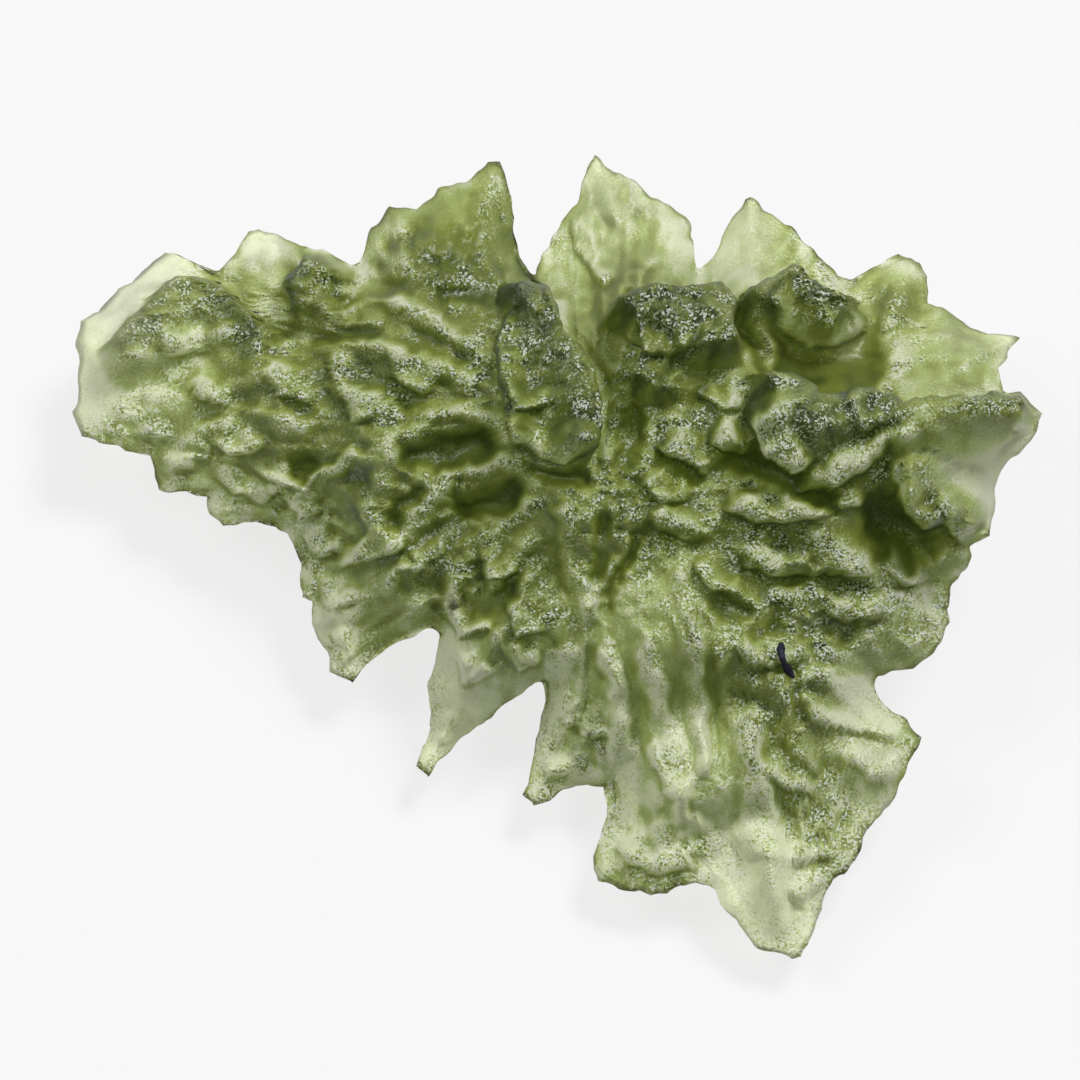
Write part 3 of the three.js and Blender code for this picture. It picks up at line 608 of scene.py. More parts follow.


# %% [markdown]
# ## The two skins
#
# The stone is a splash of natural glass that acids in the soil have eaten for millions of years.
# They cut deep between the ribs, left crests and knobs standing, and roughened all that stood up.
#
# Carving could be done by sculpting or by displacement. Here it is a sum of heights over the
# sheet, so that each crest, rib, knob and pit can be moved alone: a thick leaf first, then the
# drawn features, then noise scoops for the etching. Acid undercuts, so every crest and knob is
# steeper on its narrow side and leans over it. The back carries one rib to each tooth and is
# cut level with the floor.
#
# Three numbers go with each node. Tone says how pale the glass looks there: thin and clear glass
# is pale and tall crests are dark, and it holds painted light and shade too: raised places, ribs
# and slopes turned to the light side are painted paler, pits, steep slopes and the rim darker.
# Grain says how sugary the skin is, and also where painted glints gather. Milky marks the
# thin far teeth, which are nearly colourless.


# %% Etching
# Sizes and distances are in sheet steps, heights in mm.
INNER_FLUTES = 62  # flutes round the hub, near it
OUTER_FLUTES = 118  # more of them farther out, where the inner ones would grow too broad
FLUTE_LENGTHS = (60.0, 75.0)
OUTER_FROM, OUTER_RUN = 170.0, 120.0  # where the outer flutes take over
FAN_FROM, FAN_RUN = 50.0, 150.0  # where the flutes begin
WOBBLE, WOBBLE_SIZE = 0.010, 60.0  # sideways bends of the flutes, as a share of a full turn
SIZES = {"patch": 44.0, "blot": 19.0, "swelling": 38.0, "knob": 24.0, "bump": 13.0, "grit": 6.5}
SMOOTH = {"fan": 0.20, "swelling": 0.16, "knob": 0.14, "bump": 0.05}  # on all of the skin
ROUGH = {"knob": 0.12, "bump": 0.14, "grit": 0.07}  # added on the rough patches
BLOT_SHARE, PATCH_FROM, PATCH_RUN = 0.5, -0.25, 0.8  # share of small blots; where patches begin
KNOB_WARP = (19.0, 5.0)  # size and shift of the noise that bends the round marks
LINE_WARPS = [(60, 22.0, 4.5), (64, 9.0, 2.2)]  # seed, size and shift, for the drawn lines


def noise_of(size, x, y, seed):
    """The value noise of one of the named sizes."""
    return value_noise(x / SIZES[size], y / SIZES[size], seed)


def rough_patches(x, y, seed):
    """Where the skin is etched rough, from 0 to 1: soft-edged patches, broken up by blots."""
    broad = noise_of("patch", x, y, seed + 20) + BLOT_SHARE * noise_of("blot", x, y, seed + 21)
    return ease((broad - PATCH_FROM) / PATCH_RUN)


def etched(x, y, seed, strength):
    """Long scoops that run out from the hub, round scoops of two sizes, swellings and grit, mm."""
    u, v = x - HUB[0], y - HUB[1]
    far = np.hypot(u, v)
    bend = value_noise(x / WOBBLE_SIZE, y / WOBBLE_SIZE, seed + 7)
    turn = np.arctan2(v, u) / (2 * np.pi) + WOBBLE * bend
    inner = scoops(turn * INNER_FLUTES, far / FLUTE_LENGTHS[0], seed, INNER_FLUTES)
    outer = scoops(turn * OUTER_FLUTES, far / FLUTE_LENGTHS[1], seed + 4, OUTER_FLUTES)
    share = ease((far - OUTER_FROM) / OUTER_RUN)
    fan = ease((far - FAN_FROM) / FAN_RUN) * (inner * (1.0 - share) + outer * share)
    swellings = noise_of("swelling", x, y, seed + 1)
    wx, wy = warped(x, y, seed + 8, *KNOB_WARP)
    knobs = -scoops(wx / SIZES["knob"], wy / SIZES["knob"], seed + 6)
    bumps = scoops(wx / SIZES["bump"], wy / SIZES["bump"], seed + 2)
    grit = noise_of("grit", x, y, seed + 3)
    smooth = SMOOTH["fan"] * fan + SMOOTH["swelling"] * swellings
    smooth = smooth + SMOOTH["knob"] * knobs + SMOOTH["bump"] * bumps
    rough = ROUGH["knob"] * knobs + ROUGH["bump"] * bumps + ROUGH["grit"] * grit
    return strength * (smooth + rough * rough_patches(x, y, seed))


def warped(x, y, seed, size, shift):
    """Each sheet point moved by up to shift steps with a noise of the given size."""
    along = value_noise(x / size, y / size, seed)
    down = value_noise(x / size, y / size, seed + 1)
    return x + shift * along, y + shift * down


def uneven_place(x, y):
    """Sheet points moved by two sizes of noise, so that drawn lines come out uneven."""
    for warp in LINE_WARPS:
        x, y = warped(x, y, *warp)
    return x, y


print("flutes:", INNER_FLUTES, "near the hub,", OUTER_FLUTES, "farther out")

# %% Relief and facing
NEAR_STEPS = 6  # times that neighbours are averaged, for what stands out nearby
WIDE_STEPS = 90  # and for what stands out over a wider stretch
NEAR_TONE, WIDE_TONE = 2.3, 0.38  # painted light and shade, as tone per mm
RAISED_TONE = 0.50  # share of it that a raised place keeps as painted light
SUNK_TONE = 0.30  # the most painted shade that a sunk place can get
LEAST_LENGTH = 1e-12


def smoothed(values, times):
    """Each inner node becomes the mean of its four neighbours, over and over; the border stays."""
    values = values.copy()
    for _ in range(times):
        across = values[1:-1, :-2] + values[1:-1, 2:]
        values[1:-1, 1:-1] = (across + values[:-2, 1:-1] + values[2:, 1:-1]) / 4.0
    return values


def painted_relief_shading(bumps):
    """Painted light where a node stands over its surroundings, shade where it is sunk, near and wide."""
    near = bumps - smoothed(bumps, NEAR_STEPS)
    wide = bumps - smoothed(bumps, WIDE_STEPS)
    tone = NEAR_TONE * near + WIDE_TONE * wide
    return np.where(tone > 0.0, RAISED_TONE * tone, -SUNK_TONE * np.tanh(-tone / SUNK_TONE))


def facing(points, towards):
    """Cosine between the skin and a direction, from the cross product of its two grid steps."""
    normals = np.cross(np.gradient(points, axis=1), np.gradient(points, axis=0))
    lengths = np.maximum(np.linalg.norm(normals, axis=-1), LEAST_LENGTH)
    return normals @ (np.array(towards) / np.linalg.norm(towards)) / lengths


print("steps of evening out:", NEAR_STEPS, "and", WIDE_STEPS)

# %% Leaning crests
NARROW_SIDE = 15.0  # sheet steps: a shorter reach is a steep side
STEEPER = 0.55  # share of the reach that a steep side keeps
LEANING = 0.10  # shift of the top, as a share of the height
CREST_RUN = 0.5  # mm over which the crests grow inward from the rim
LEAST_WEIGHT = 1e-9  # keeps flat places from dividing by nothing, as LEAST_LENGTH does


def steep_way(feature):
    """Unit vector in the sheet from a crest's path to its narrow, steep side."""
    height, right, left, fade, path = feature
    run = path[-1] - path[0]
    across = np.array([-run[1], run[0]]) / np.hypot(*run)
    return across if right < left else -across


def undercut(feature):
    """The crest with a steeper narrow side, set back by as much as its top will lean over."""
    height, right, left, fade, path = feature
    narrow = [STEEPER * reach if reach < NARROW_SIDE else reach for reach in (right, left)]
    set_back = steep_way(feature) * LEANING * height / UNIT
    return height, narrow[0], narrow[1], fade, path - set_back


def leaning(x, y, inward):
    """Sheet points moved so that every crest leans over its steep side by a share of its height."""
    wx, wy = uneven_place(x, y)
    weights = np.full(x.shape, LEAST_WEIGHT)
    shift = np.zeros(x.shape + (2,))
    for crest in CRESTS + LOBES:
        lift = relief(undercut(crest), wx, wy) * ease(inward / CREST_RUN)
        weights += lift**2
        shift += (lift**3)[..., None] * steep_way(crest)
    shift *= LEANING / UNIT / weights[..., None]
    return x + shift[..., 0], y + shift[..., 1]


print("leaning crests and knobs:", len(CRESTS + LOBES))

# %% Masks of the glass
# Tone runs from 0, the dark of a pit, to 1, the near white of a thin edge.
PAINTED_LIGHT_SIDE = (0.35, 0.10, 0.93)  # painted light and shade: slopes turned this way are painted paler, slopes turned away darker
SUGAR_AND_GLINT_SIDE = (0.18, -0.30, 0.94)  # slopes that look this way get more grain and more painted glints
FULL = {"crest": 2.2, "pit": 0.9, "rib": 0.6, "cut": 0.6, "clear": 0.9}  # mm or strength that counts in full
# Painted light and shade in the tone: the slope shading, the paler ribs, and the darker steep slopes and
# pits.
TONE = {
    "plain": 0.54, "thin": 0.30, "clear": 0.36, "rib": 0.20, "painted_slope_shading": 0.29,
    "steep": 0.11, "crest": 0.16, "pit": 0.14,
}
BACK_TONE = {"plain": 0.50, "thin": 0.26}
# Grain sets the etched roughness and bump, and also where the painted glints gather.
GRAIN = {"plain": 0.08, "sugar_and_glint_slope": 0.80, "crest": 0.20, "rib": 0.40, "raised": 1.6}
PAINTED_RIM_LINE = {"strength": 0.34, "width": 0.07}  # painted shade: a dark line right at the rim, width in mm
PAINTED_RIM_BLOTS = {"strength": 0.30, "width": 0.30}  # painted light and shade: light and dark blots a little inside it
SLOPE_SHADING_STEPS, SLOPE_SHADING_MOST = 200, 0.6  # averaging for the mean slope of the painted shading, and the most that one may differ
THIN_FROM, THIN_RUN = 0.3, 2.6  # mm of glass between which it stops to look thin
STEEP_FROM, FLAT_FROM, SLOPE_RUN = 0.60, 0.75, 0.45  # cosines with the sheet's normal, for the painted shade of steep slopes and the calmer grain there
SUGAR_FROM, SUGAR_RUN = 0.72, 0.20  # cosines with the side of more grain and painted glints
CALM = {"cut": 0.7, "clear": 0.72, "rib": 0.6}  # share of etching, grain or the painted rim blots that each takes
GRAIN_CALM = {"slope": 0.9, "clear": 0.60, "even": 0.8}  # share of the grain that each takes
EDGE_CALM = {"clear": 0.8, "even": 0.65}  # share of the painted rim line, or of all the rim's painted shade, that each takes
RELIEF_CALM = 0.5  # share of the relief's painted light and shade that clear and even places take
RIM_LINE_KEPT = 0.7  # above 0 the noise leaves more of the painted rim line standing
MILKY_GAIN = 2.0  # a place half clear is milky in full
SUGAR_LEAST, SUGAR_SWING = 0.45, 0.55  # grain and painted glints outside the rough patches, and more inside


def painted_rim_shade(x, y, inward, clear, even):
    """Painted shade along the glass's edge, and how much of it; clear and even places show less of it."""
    uneven = noise_of("bump", x, y, SEEDS["edge"])
    painted_rim_line = PAINTED_RIM_LINE["strength"] * np.exp(-inward / PAINTED_RIM_LINE["width"])
    painted_rim_line = painted_rim_line * (1.0 - EDGE_CALM["clear"] * np.minimum(clear, 1.0)) * ease(RIM_LINE_KEPT + uneven)
    painted_rim_blots = PAINTED_RIM_BLOTS["strength"] * np.exp(-inward / PAINTED_RIM_BLOTS["width"]) * uneven
    return (painted_rim_line + painted_rim_blots * (1.0 - CALM["clear"] * clear)) * (1.0 - EDGE_CALM["even"] * even)


def glass_masks(x, y, inward, front, part):
    """Tone of both skins, grain and milkiness, from the heights of the parts named in part."""
    wx, wy = uneven_place(x, y)
    crests, ribs, cuts, clear = (part[name] for name in ("crests", "ribs", "cuts", "clear"))
    even = tallest(EVEN, wx, wy)
    # Painted shade along the rim, taken off the tones of both skins.
    shade = painted_rim_shade(x, y, inward, clear, even)
    leant = to_stone(*leaning(x, y, inward), front)
    outward = facing(leant, OUTWARD)
    # Painted light and shade: a slope turned more to the light side than its surroundings is painted paler,
    # one turned away darker.
    painted_slope_shading = facing(leant, PAINTED_LIGHT_SIDE)
    painted_slope_shading = np.clip(painted_slope_shading - smoothed(painted_slope_shading, SLOPE_SHADING_STEPS), -SLOPE_SHADING_MOST, SLOPE_SHADING_MOST)
    thin = 1.0 - ease((part["swollen"] + crests - THIN_FROM) / THIN_RUN)
    high = ease(crests / FULL["crest"])

    # Painted shade on steep slopes and in pits; tall crests and the dense places are darker as well.
    steep = ease((STEEP_FROM - outward) / SLOPE_RUN)
    dark = TONE["steep"] * steep + TONE["crest"] * high
    dark = dark + TONE["pit"] * ease(tallest(PITS, wx, wy) / FULL["pit"]) + tallest(DENSE, wx, wy)
    strength = 1.0 - RELIEF_CALM * np.maximum(ease(clear), even)
    # The relief's painted light and shade: raised places are painted paler, sunk places darker.
    raised = painted_relief_shading(part["bumps"] - crests)
    tone = TONE["plain"] + TONE["thin"] * thin + TONE["clear"] * clear - dark - shade
    # Ribs are painted paler, as light gathers on them.
    tone = tone + TONE["rib"] * ease(ribs / FULL["rib"]) * (1.0 - even)
    tone = tone + strength * (raised + TONE["painted_slope_shading"] * painted_slope_shading)
    # The back gets the relief's painted light and shade, and the rim's painted shade too.
    back_tone = BACK_TONE["plain"] + BACK_TONE["thin"] * thin + painted_relief_shading(part["back"]) - shade

    # Painted glints gather on slopes turned to one side, where highlights of the lights would fall.
    sugar_and_glint_slope = ease((facing(leant, SUGAR_AND_GLINT_SIDE) - SUGAR_FROM) / SUGAR_RUN)
    patches = SUGAR_LEAST + SUGAR_SWING * rough_patches(x, y, SEEDS["front"])
    grain = GRAIN["plain"] + GRAIN["sugar_and_glint_slope"] * sugar_and_glint_slope * patches + GRAIN["crest"] * high
    grain = grain + GRAIN["rib"] * ease(ribs / FULL["rib"])
    # Places that the relief paints paler also get more grain, and so more painted glints.
    grain = grain + GRAIN["raised"] * np.maximum(raised, 0.0)
    grain = (grain + tallest(SUGAR_AND_GLINT_PLACES, wx, wy)) * (1.0 - CALM["cut"] * ease(cuts / FULL["cut"]))
    flat = 1.0 - GRAIN_CALM["slope"] * ease((FLAT_FROM - outward) / SLOPE_RUN)
    grain = grain * flat * (1.0 - GRAIN_CALM["clear"] * ease(clear / FULL["clear"]))
    grain = grain * (1.0 - GRAIN_CALM["even"] * even)
    milky = even * np.minimum(MILKY_GAIN * clear, 1.0)
    return [np.clip(mask, 0.0, 1.0) for mask in (tone, back_tone, grain, milky)]


print("masks: tone, back tone, grain, milky")

# %% Heights of the skins
EDGE_RUN = 1.8  # mm over which the stone thickens inward from its rim
BELLY = 1.3  # back thickness against front thickness
BELLY_SWELLING = {"height": 1.4, "at": (613.0, 545.0), "reach": 130.0}  # widens the resting flat
THINNEST = 0.25  # mm of glass left under the deepest pit
ETCH_RUN = 0.7  # mm over which the etching and the knobs grow inward from the rim
CALM_RIB = 0.5  # mm: a rib of this height is etched the least
BACK_ETCHING = 1.2  # strength against the front's 1
RIB_LEAST, RIB_SWING, RIB_SIZE = 0.65, 0.50, 22.0  # how much of a rib is left along its way


def skins(x, y, inward, fine):
    """Front and back height above the hub, square to the sheet, in mm; inward is in mm."""
    level, half = level_at(x, y)
    rise = (HUB[1] - y) * UNIT
    floor = -rise * np.cos(LEAN) / np.sin(LEAN)
    middle = floor + level / np.sin(LEAN)
    swell = 1.0 - np.exp(-inward / EDGE_RUN)
    near = ease(inward / EDGE_RUN)
    at, reach = BELLY_SWELLING["at"], BELLY_SWELLING["reach"]
    belly = BELLY_SWELLING["height"] * np.exp(-((x - at[0]) ** 2 + (y - at[1]) ** 2) / reach**2)
    wx, wy = uneven_place(x, y) if fine else (x, y)
    ribs, cuts = tallest(RIBS, wx, wy), tallest(PITS + GROOVES, wx, wy)
    if fine:
        ribs = ribs * (RIB_LEAST + RIB_SWING * value_noise(x / RIB_SIZE, y / RIB_SIZE, SEEDS["ribs"]))
    steep_crests = [undercut(crest) for crest in CRESTS] if fine else CRESTS
    crests = tallest(steep_crests, wx, wy) * ease(inward / CREST_RUN)
    bumps = crests + near * (ribs - cuts)
    back_bumps = near * tallest(BACK_RIBS, wx, wy)
    if fine:
        etch = ease(inward / ETCH_RUN)
        clear = tallest(CLEAR, wx, wy)
        calm = (1.0 - CALM["cut"] * ease(cuts / FULL["cut"])) * (1.0 - CALM["clear"] * clear)
        calm = calm * (1.0 - CALM["rib"] * ease(ribs / CALM_RIB))
        back_bumps = back_bumps + etch * etched(x, y, SEEDS["back"], BACK_ETCHING)
        lobes = etch * tallest([undercut(lobe) for lobe in LOBES], wx, wy)
        bumps = bumps + lobes + etch * calm * etched(x, y, SEEDS["front"], 1.0)
    back = np.maximum(middle - BELLY * half * swell - back_bumps - belly, floor)
    front = middle + half * swell + bumps
    front = np.maximum(front, back + THINNEST * near)
    if not fine:
        return front, back, None
    part = {"crests": crests, "ribs": ribs, "cuts": cuts, "clear": clear}
    part |= {"bumps": bumps, "back": back_bumps, "swollen": half * swell}
    return front, back, glass_masks(x, y, inward, front, part)


print("thinnest glass under a pit, mm:", THINNEST)

# %% Points of both skins
RELAX_STEPS = 60  # times that the inner nodes are evened out
JAGS = [(18.0, 3.4), (9.0, 1.9)]  # sizes and shifts of the noise that roughens the rim


def stone_points(rings, fine):
    """Front and back node positions as (rows, columns, 3) arrays in mm."""
    x, y, outer, rim = ring_grid(rings)
    x, y = pushed(x, y)
    edge = np.stack(pushed(*rim.T), -1)
    if fine:
        x[1:-1, 1:-1] = smoothed(x, RELAX_STEPS)[1:-1, 1:-1]
        y[1:-1, 1:-1] = smoothed(y, RELAX_STEPS)[1:-1, 1:-1]
        for size, shift in JAGS:
            x, y = warped(x, y, SEEDS["jags"], size, shift)
            edge = np.stack(warped(*edge.T, SEEDS["jags"], size, shift), -1)
    edge = np.concatenate([edge, edge[:1]])
    inward = np.where(outer, 0.0, nearest(edge, x, y)[0] * UNIT)
    front, back, masks = skins(x, y, inward, fine)
    leant = leaning(x, y, inward) if fine else (x, y)
    return to_stone(*leant, front), to_stone(x, y, back), masks


coarse = np.concatenate([p.reshape(-1, 3) for p in stone_points(COARSE_RINGS, False)[:2]])
low, high = coarse.min(0), coarse.max(0)
ORIGIN = np.array([(low[0] + high[0]) / 2, (low[1] + high[1]) / 2, low[2]])
print("coarse form, mm:", np.round(high - low, 3))

front_skin, back_skin, (tone, back_tone, grain, milky) = stone_points(FINE_RINGS, True)


# %% [markdown]
# ## Mesh
#
# The glass must be closed, or light would not know where it is inside. Two grids of quads, one
# for each skin, share their outer ring of nodes, so the rim is one sharp edge, as on the stone.


# %% Closed mesh from the two skins
def placed_in_scene(name, data):
    """A new object at the origin of the scene that shows the given data."""
    obj = bpy.data.objects.new(name, data)
    bpy.context.scene.collection.objects.link(obj)
    return obj


def closed_mesh(name, front, back):
    """Front grid facing out, back grid turned over, joined along the shared border."""
    side = front.shape[0]
    ids = np.arange(side * side).reshape(side, side)
    back_ids = np.full((side, side), -1)
    inner = (slice(1, -1), slice(1, -1))
    back_ids[inner] = side * side + np.arange((side - 2) ** 2).reshape(side - 2, side - 2)
    back_ids = np.where(back_ids < 0, ids, back_ids)
    points = np.concatenate([front.reshape(-1, 3), back[inner].reshape(-1, 3)])
    points = (points - ORIGIN) * MM

    def quads(grid):
        """Corner numbers of every cell, anticlockwise."""
        return np.stack([grid[:-1, :-1], grid[:-1, 1:], grid[1:, 1:], grid[1:, :-1]], -1).reshape(-1, 4)

    faces = np.concatenate([quads(ids), quads(back_ids)[:, ::-1]])
    mesh = bpy.data.meshes.new(name)
    mesh.from_pydata(points.tolist(), [], faces.tolist())
    mesh.update()
    mesh.shade_smooth()
    return placed_in_scene(name, mesh)


def add_mask(obj, name, front, back):
    """Stores one number per node as a point attribute."""
    values = np.concatenate([front.ravel(), back[1:-1, 1:-1].ravel()])
    attribute = obj.data.attributes.new(name, "FLOAT", "POINT")
    attribute.data.foreach_set("value", values.astype(np.float32))


stone = closed_mesh("moldavite_stone", front_skin, back_skin)
add_mask(stone, "tone", tone, back_tone)
add_mask(stone, "grain", grain, grain)
add_mask(stone, "milky", milky, milky)
print("stone:", len(stone.data.vertices), "vertices,", len(stone.data.polygons), "quads")

# %% [markdown]
# ## Glass
#
# Clear bottle-green glass: light goes through it, and absorption takes out most of the blue along
# the way and a little more red than green. The etched skin is matt between the ridges and glitters
# in tiny facets on top of them.
#
# The facets are finer than the mesh, so their glints are painted: small random cells in the colour,
# gathered in patches where the grain mask is high, with a fine bump under them. The tone mask, with
# its painted light and shade, runs through a ramp of greens, from the dark of a pit to the near
# white of a thin edge.


# %% Glass material
TRANSMIT = 0.70  # the rest is scattered by the etched skin
IOR = 1.49
SPECULAR = 0.15
ROUGHNESS, SUGAR_POLISH = 0.48, -0.20  # plain skin, and the change where it is fully sugary
DEEP = (0.022, 0.040, 0.005, 1.0)
MID = (0.20, 0.245, 0.030, 1.0)
BRIGHT = (0.455, 0.535, 0.172, 1.0)
PALE = (0.94, 0.97, 0.76, 1.0)
# near white of the painted glints
GLINT = (0.95, 0.97, 0.94, 1.0)
MILK = (0.64, 0.64, 0.57, 1.0)
MILK_SHARE = 0.36
MID_STOP, BRIGHT_STOP = 0.50, 0.78  # tones at which the two middle greens stand
ABSORPTION = (0.517, 0.60, 0.133, 1.0)
DENSITY = 90.0  # per metre
GRAIN_HEIGHT = 0.00016  # metres
GRAIN_SCALE = 13000.0  # cells to a metre, as in the next two
GLINT_SCALE = 17000.0
CLUSTER_SCALE = 2200.0
CLUSTER_EDGES = (0.36, 0.56)  # noise values between which the facets gather, with their painted glints
CLUSTER_GAIN, CLUSTER_LEAST = 1.45, 0.12
SPECKLE_GAIN, SPECKLE_SHIFT = 1.6, -0.8  # stretch the grain noise to about -0.8 to 0.8
SPECKLE_SUGARY, SPECKLE_PLAIN = 0.45, 0.22  # its share of the tone
FACET_MIDDLE = 0.62  # facets above this are painted lighter and facets below darker, around the painted glints
GLINT_EDGES = (0.67, 0.77)  # facets above these are painted as near-white glints


def number(tree, operation, *values):
    """A Math node whose inputs are plain numbers or sockets; gives its output socket."""
    node = tree.nodes.new("ShaderNodeMath")
    node.operation = operation
    for socket, value in zip(node.inputs, values):
        if isinstance(value, bpy.types.NodeSocket):
            tree.links.new(value, socket)
        else:
            socket.default_value = value
    return node.outputs["Value"]


def noise(tree, where, scale, detail):
    """Soft noise from 0 to 1, read at the given coordinates."""
    node = tree.nodes.new("ShaderNodeTexNoise")
    node.inputs["Scale"].default_value = scale
    node.inputs["Detail"].default_value = detail
    tree.links.new(where, node.inputs["Vector"])
    return node.outputs["Fac"]


def stored(tree, name):
    """The value of one of the mesh's point attributes."""
    node = tree.nodes.new("ShaderNodeAttribute")
    node.attribute_name = name
    return node.outputs["Fac"]


def eased_step(tree, value, low, high):
    """0 below low, 1 above high, and an eased ramp between them."""
    node = tree.nodes.new("ShaderNodeMapRange")
    node.interpolation_type = "SMOOTHSTEP"
    node.inputs["From Min"].default_value = low
    node.inputs["From Max"].default_value = high
    tree.links.new(value, node.inputs["Value"])
    return node.outputs["Result"]


def mixed(tree, share, under, over):
    """Two colours blended: under where share is 0, over where it is 1."""
    node = tree.nodes.new("ShaderNodeMix")
    node.data_type = "RGBA"
    tree.links.new(share, node.inputs[0])
    for socket, value in ((node.inputs[6], under), (node.inputs[7], over)):
        if isinstance(value, bpy.types.NodeSocket):
            tree.links.new(value, socket)
        else:
            socket.default_value = value
    return node.outputs[2]


def painted_glint_cells(tree, where):
    """A random number for every small Voronoi cell, as on a skin of tiny facets, for the painted glints."""
    cells = tree.nodes.new("ShaderNodeTexVoronoi")
    cells.inputs["Scale"].default_value = GLINT_SCALE
    tree.links.new(where, cells.inputs["Vector"])
    split = tree.nodes.new("ShaderNodeSeparateColor")
    tree.links.new(cells.outputs["Color"], split.inputs["Color"])
    return split.outputs["Red"]


def glass_material():
    """Principled glass, etched grain, colour with painted light, shade and glints, plain volume absorption.
    """
    material = bpy.data.materials.new("moldavite_glass")
    material.use_nodes = True
    tree = material.node_tree
    tree.nodes.clear()
    out = tree.nodes.new("ShaderNodeOutputMaterial")
    shader = tree.nodes.new("ShaderNodeBsdfPrincipled")
    shader.inputs["IOR"].default_value = IOR
    shader.inputs["Specular IOR Level"].default_value = SPECULAR
    shader.inputs["Transmission Weight"].default_value = TRANSMIT
    tree.links.new(shader.outputs["BSDF"], out.inputs["Surface"])
    # The grain mask sets the roughness, the bump, and where the painted glints gather.
    rough = stored(tree, "grain")
    roughness = number(tree, "MULTIPLY_ADD", rough, SUGAR_POLISH, ROUGHNESS)
    tree.links.new(roughness, shader.inputs["Roughness"])

    where = tree.nodes.new("ShaderNodeTexCoord").outputs["Object"]
    grain = noise(tree, where, GRAIN_SCALE, 2.0)
    bump = tree.nodes.new("ShaderNodeBump")
    bump.inputs["Strength"].default_value = 1.0
    bump.inputs["Distance"].default_value = GRAIN_HEIGHT
    tree.links.new(number(tree, "MULTIPLY", grain, rough), bump.inputs["Height"])
    tree.links.new(bump.outputs["Normal"], shader.inputs["Normal"])

    # The facets gather in patches where the grain mask is high; there they are painted lighter or darker
    # than the tone.
    cluster = eased_step(tree, noise(tree, where, CLUSTER_SCALE, 2.0), *CLUSTER_EDGES)
    gathered = number(tree, "MULTIPLY_ADD", cluster, CLUSTER_GAIN, CLUSTER_LEAST)
    patch = number(tree, "MULTIPLY", gathered, rough)
    facet = painted_glint_cells(tree, where)
    gaps = number(tree, "MULTIPLY", number(tree, "SUBTRACT", facet, FACET_MIDDLE), patch)
    speckle = number(tree, "MULTIPLY_ADD", grain, SPECKLE_GAIN, SPECKLE_SHIFT)
    share = number(tree, "MULTIPLY_ADD", rough, SPECKLE_SUGARY, SPECKLE_PLAIN)
    local = number(tree, "MULTIPLY_ADD", speckle, share, stored(tree, "tone"))
    local = number(tree, "ADD", gaps, local)
    ramp = tree.nodes.new("ShaderNodeValToRGB")
    ramp.color_ramp.elements[0].color = DEEP
    ramp.color_ramp.elements[1].color = PALE
    ramp.color_ramp.elements.new(MID_STOP).color = MID
    ramp.color_ramp.elements.new(BRIGHT_STOP).color = BRIGHT
    tree.links.new(local, ramp.inputs["Fac"])
    milk = number(tree, "MULTIPLY", stored(tree, "milky"), MILK_SHARE)
    glass = mixed(tree, milk, ramp.outputs["Color"], MILK)
    # Painted glints: the brightest facets in the patches turn near white.
    glint = eased_step(tree, facet, *GLINT_EDGES)
    skin = mixed(tree, number(tree, "MULTIPLY", glint, patch), glass, GLINT)
    tree.links.new(skin, shader.inputs["Base Color"])

    volume = tree.nodes.new("ShaderNodeVolumeAbsorption")
    volume.inputs["Color"].default_value = ABSORPTION
    volume.inputs["Density"].default_value = DENSITY
    tree.links.new(volume.outputs["Volume"], out.inputs["Volume"])
    return material


stone.data.materials.append(glass_material())
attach(stone, "root")
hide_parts("moldavite")
print("glass: transmission", TRANSMIT, "IOR", IOR)

# %% [markdown]
# ## Fibre
#
# A short dark fibre of lint clings to the front skin, low on the right. It is a thin tube laid
# along a hooked line and set on the nearest nodes of the skin. It is dirt and no part of the
# stone, so it is a mesh of its own with a matt, nearly black finish.


# %% Dark fibre
FIBRE_PATH = [(779, 641), (777, 648), (779, 658), (784, 668), (791, 676)]
FIBRE_RADIUS = 0.115  # mm
FIBRE_LIFT = 0.7  # height of its middle over the skin, as a share of the radius
FIBRE_TAPER, TAPER_POWER = 0.8, 6  # it thins by this share, and only close to its ends
FIBRE_UNEVEN, UNEVEN_TURNS = 0.25, 9.0  # swellings along it, as a share of the radius
FIBRE_STEPS = 24
FIBRE_SIDES = 10
FIBRE_SOFTENING = 6  # times that its line is evened out
LINT_NOISE = 9000.0  # cells to a metre
LINT_ROUGHNESS, LINT_SPECULAR = 0.6, 0.2
LINT_DARK = (0.001, 0.001, 0.003, 1.0)
LINT_LIGHT = (0.010, 0.010, 0.024, 1.0)


def skin_height(x, y):
    """Height of the front skin at sheet points, from its nearest node."""
    px = HUB[0] + front_skin[..., 0] / UNIT
    py = HUB[1] - (front_skin[..., 1] * np.sin(LEAN) + front_skin[..., 2] * np.cos(LEAN)) / UNIT
    height = -front_skin[..., 1] * np.cos(LEAN) + front_skin[..., 2] * np.sin(LEAN)
    nodes = [np.argmin((px - a) ** 2 + (py - b) ** 2) for a, b in zip(x, y)]
    return height.ravel()[nodes]


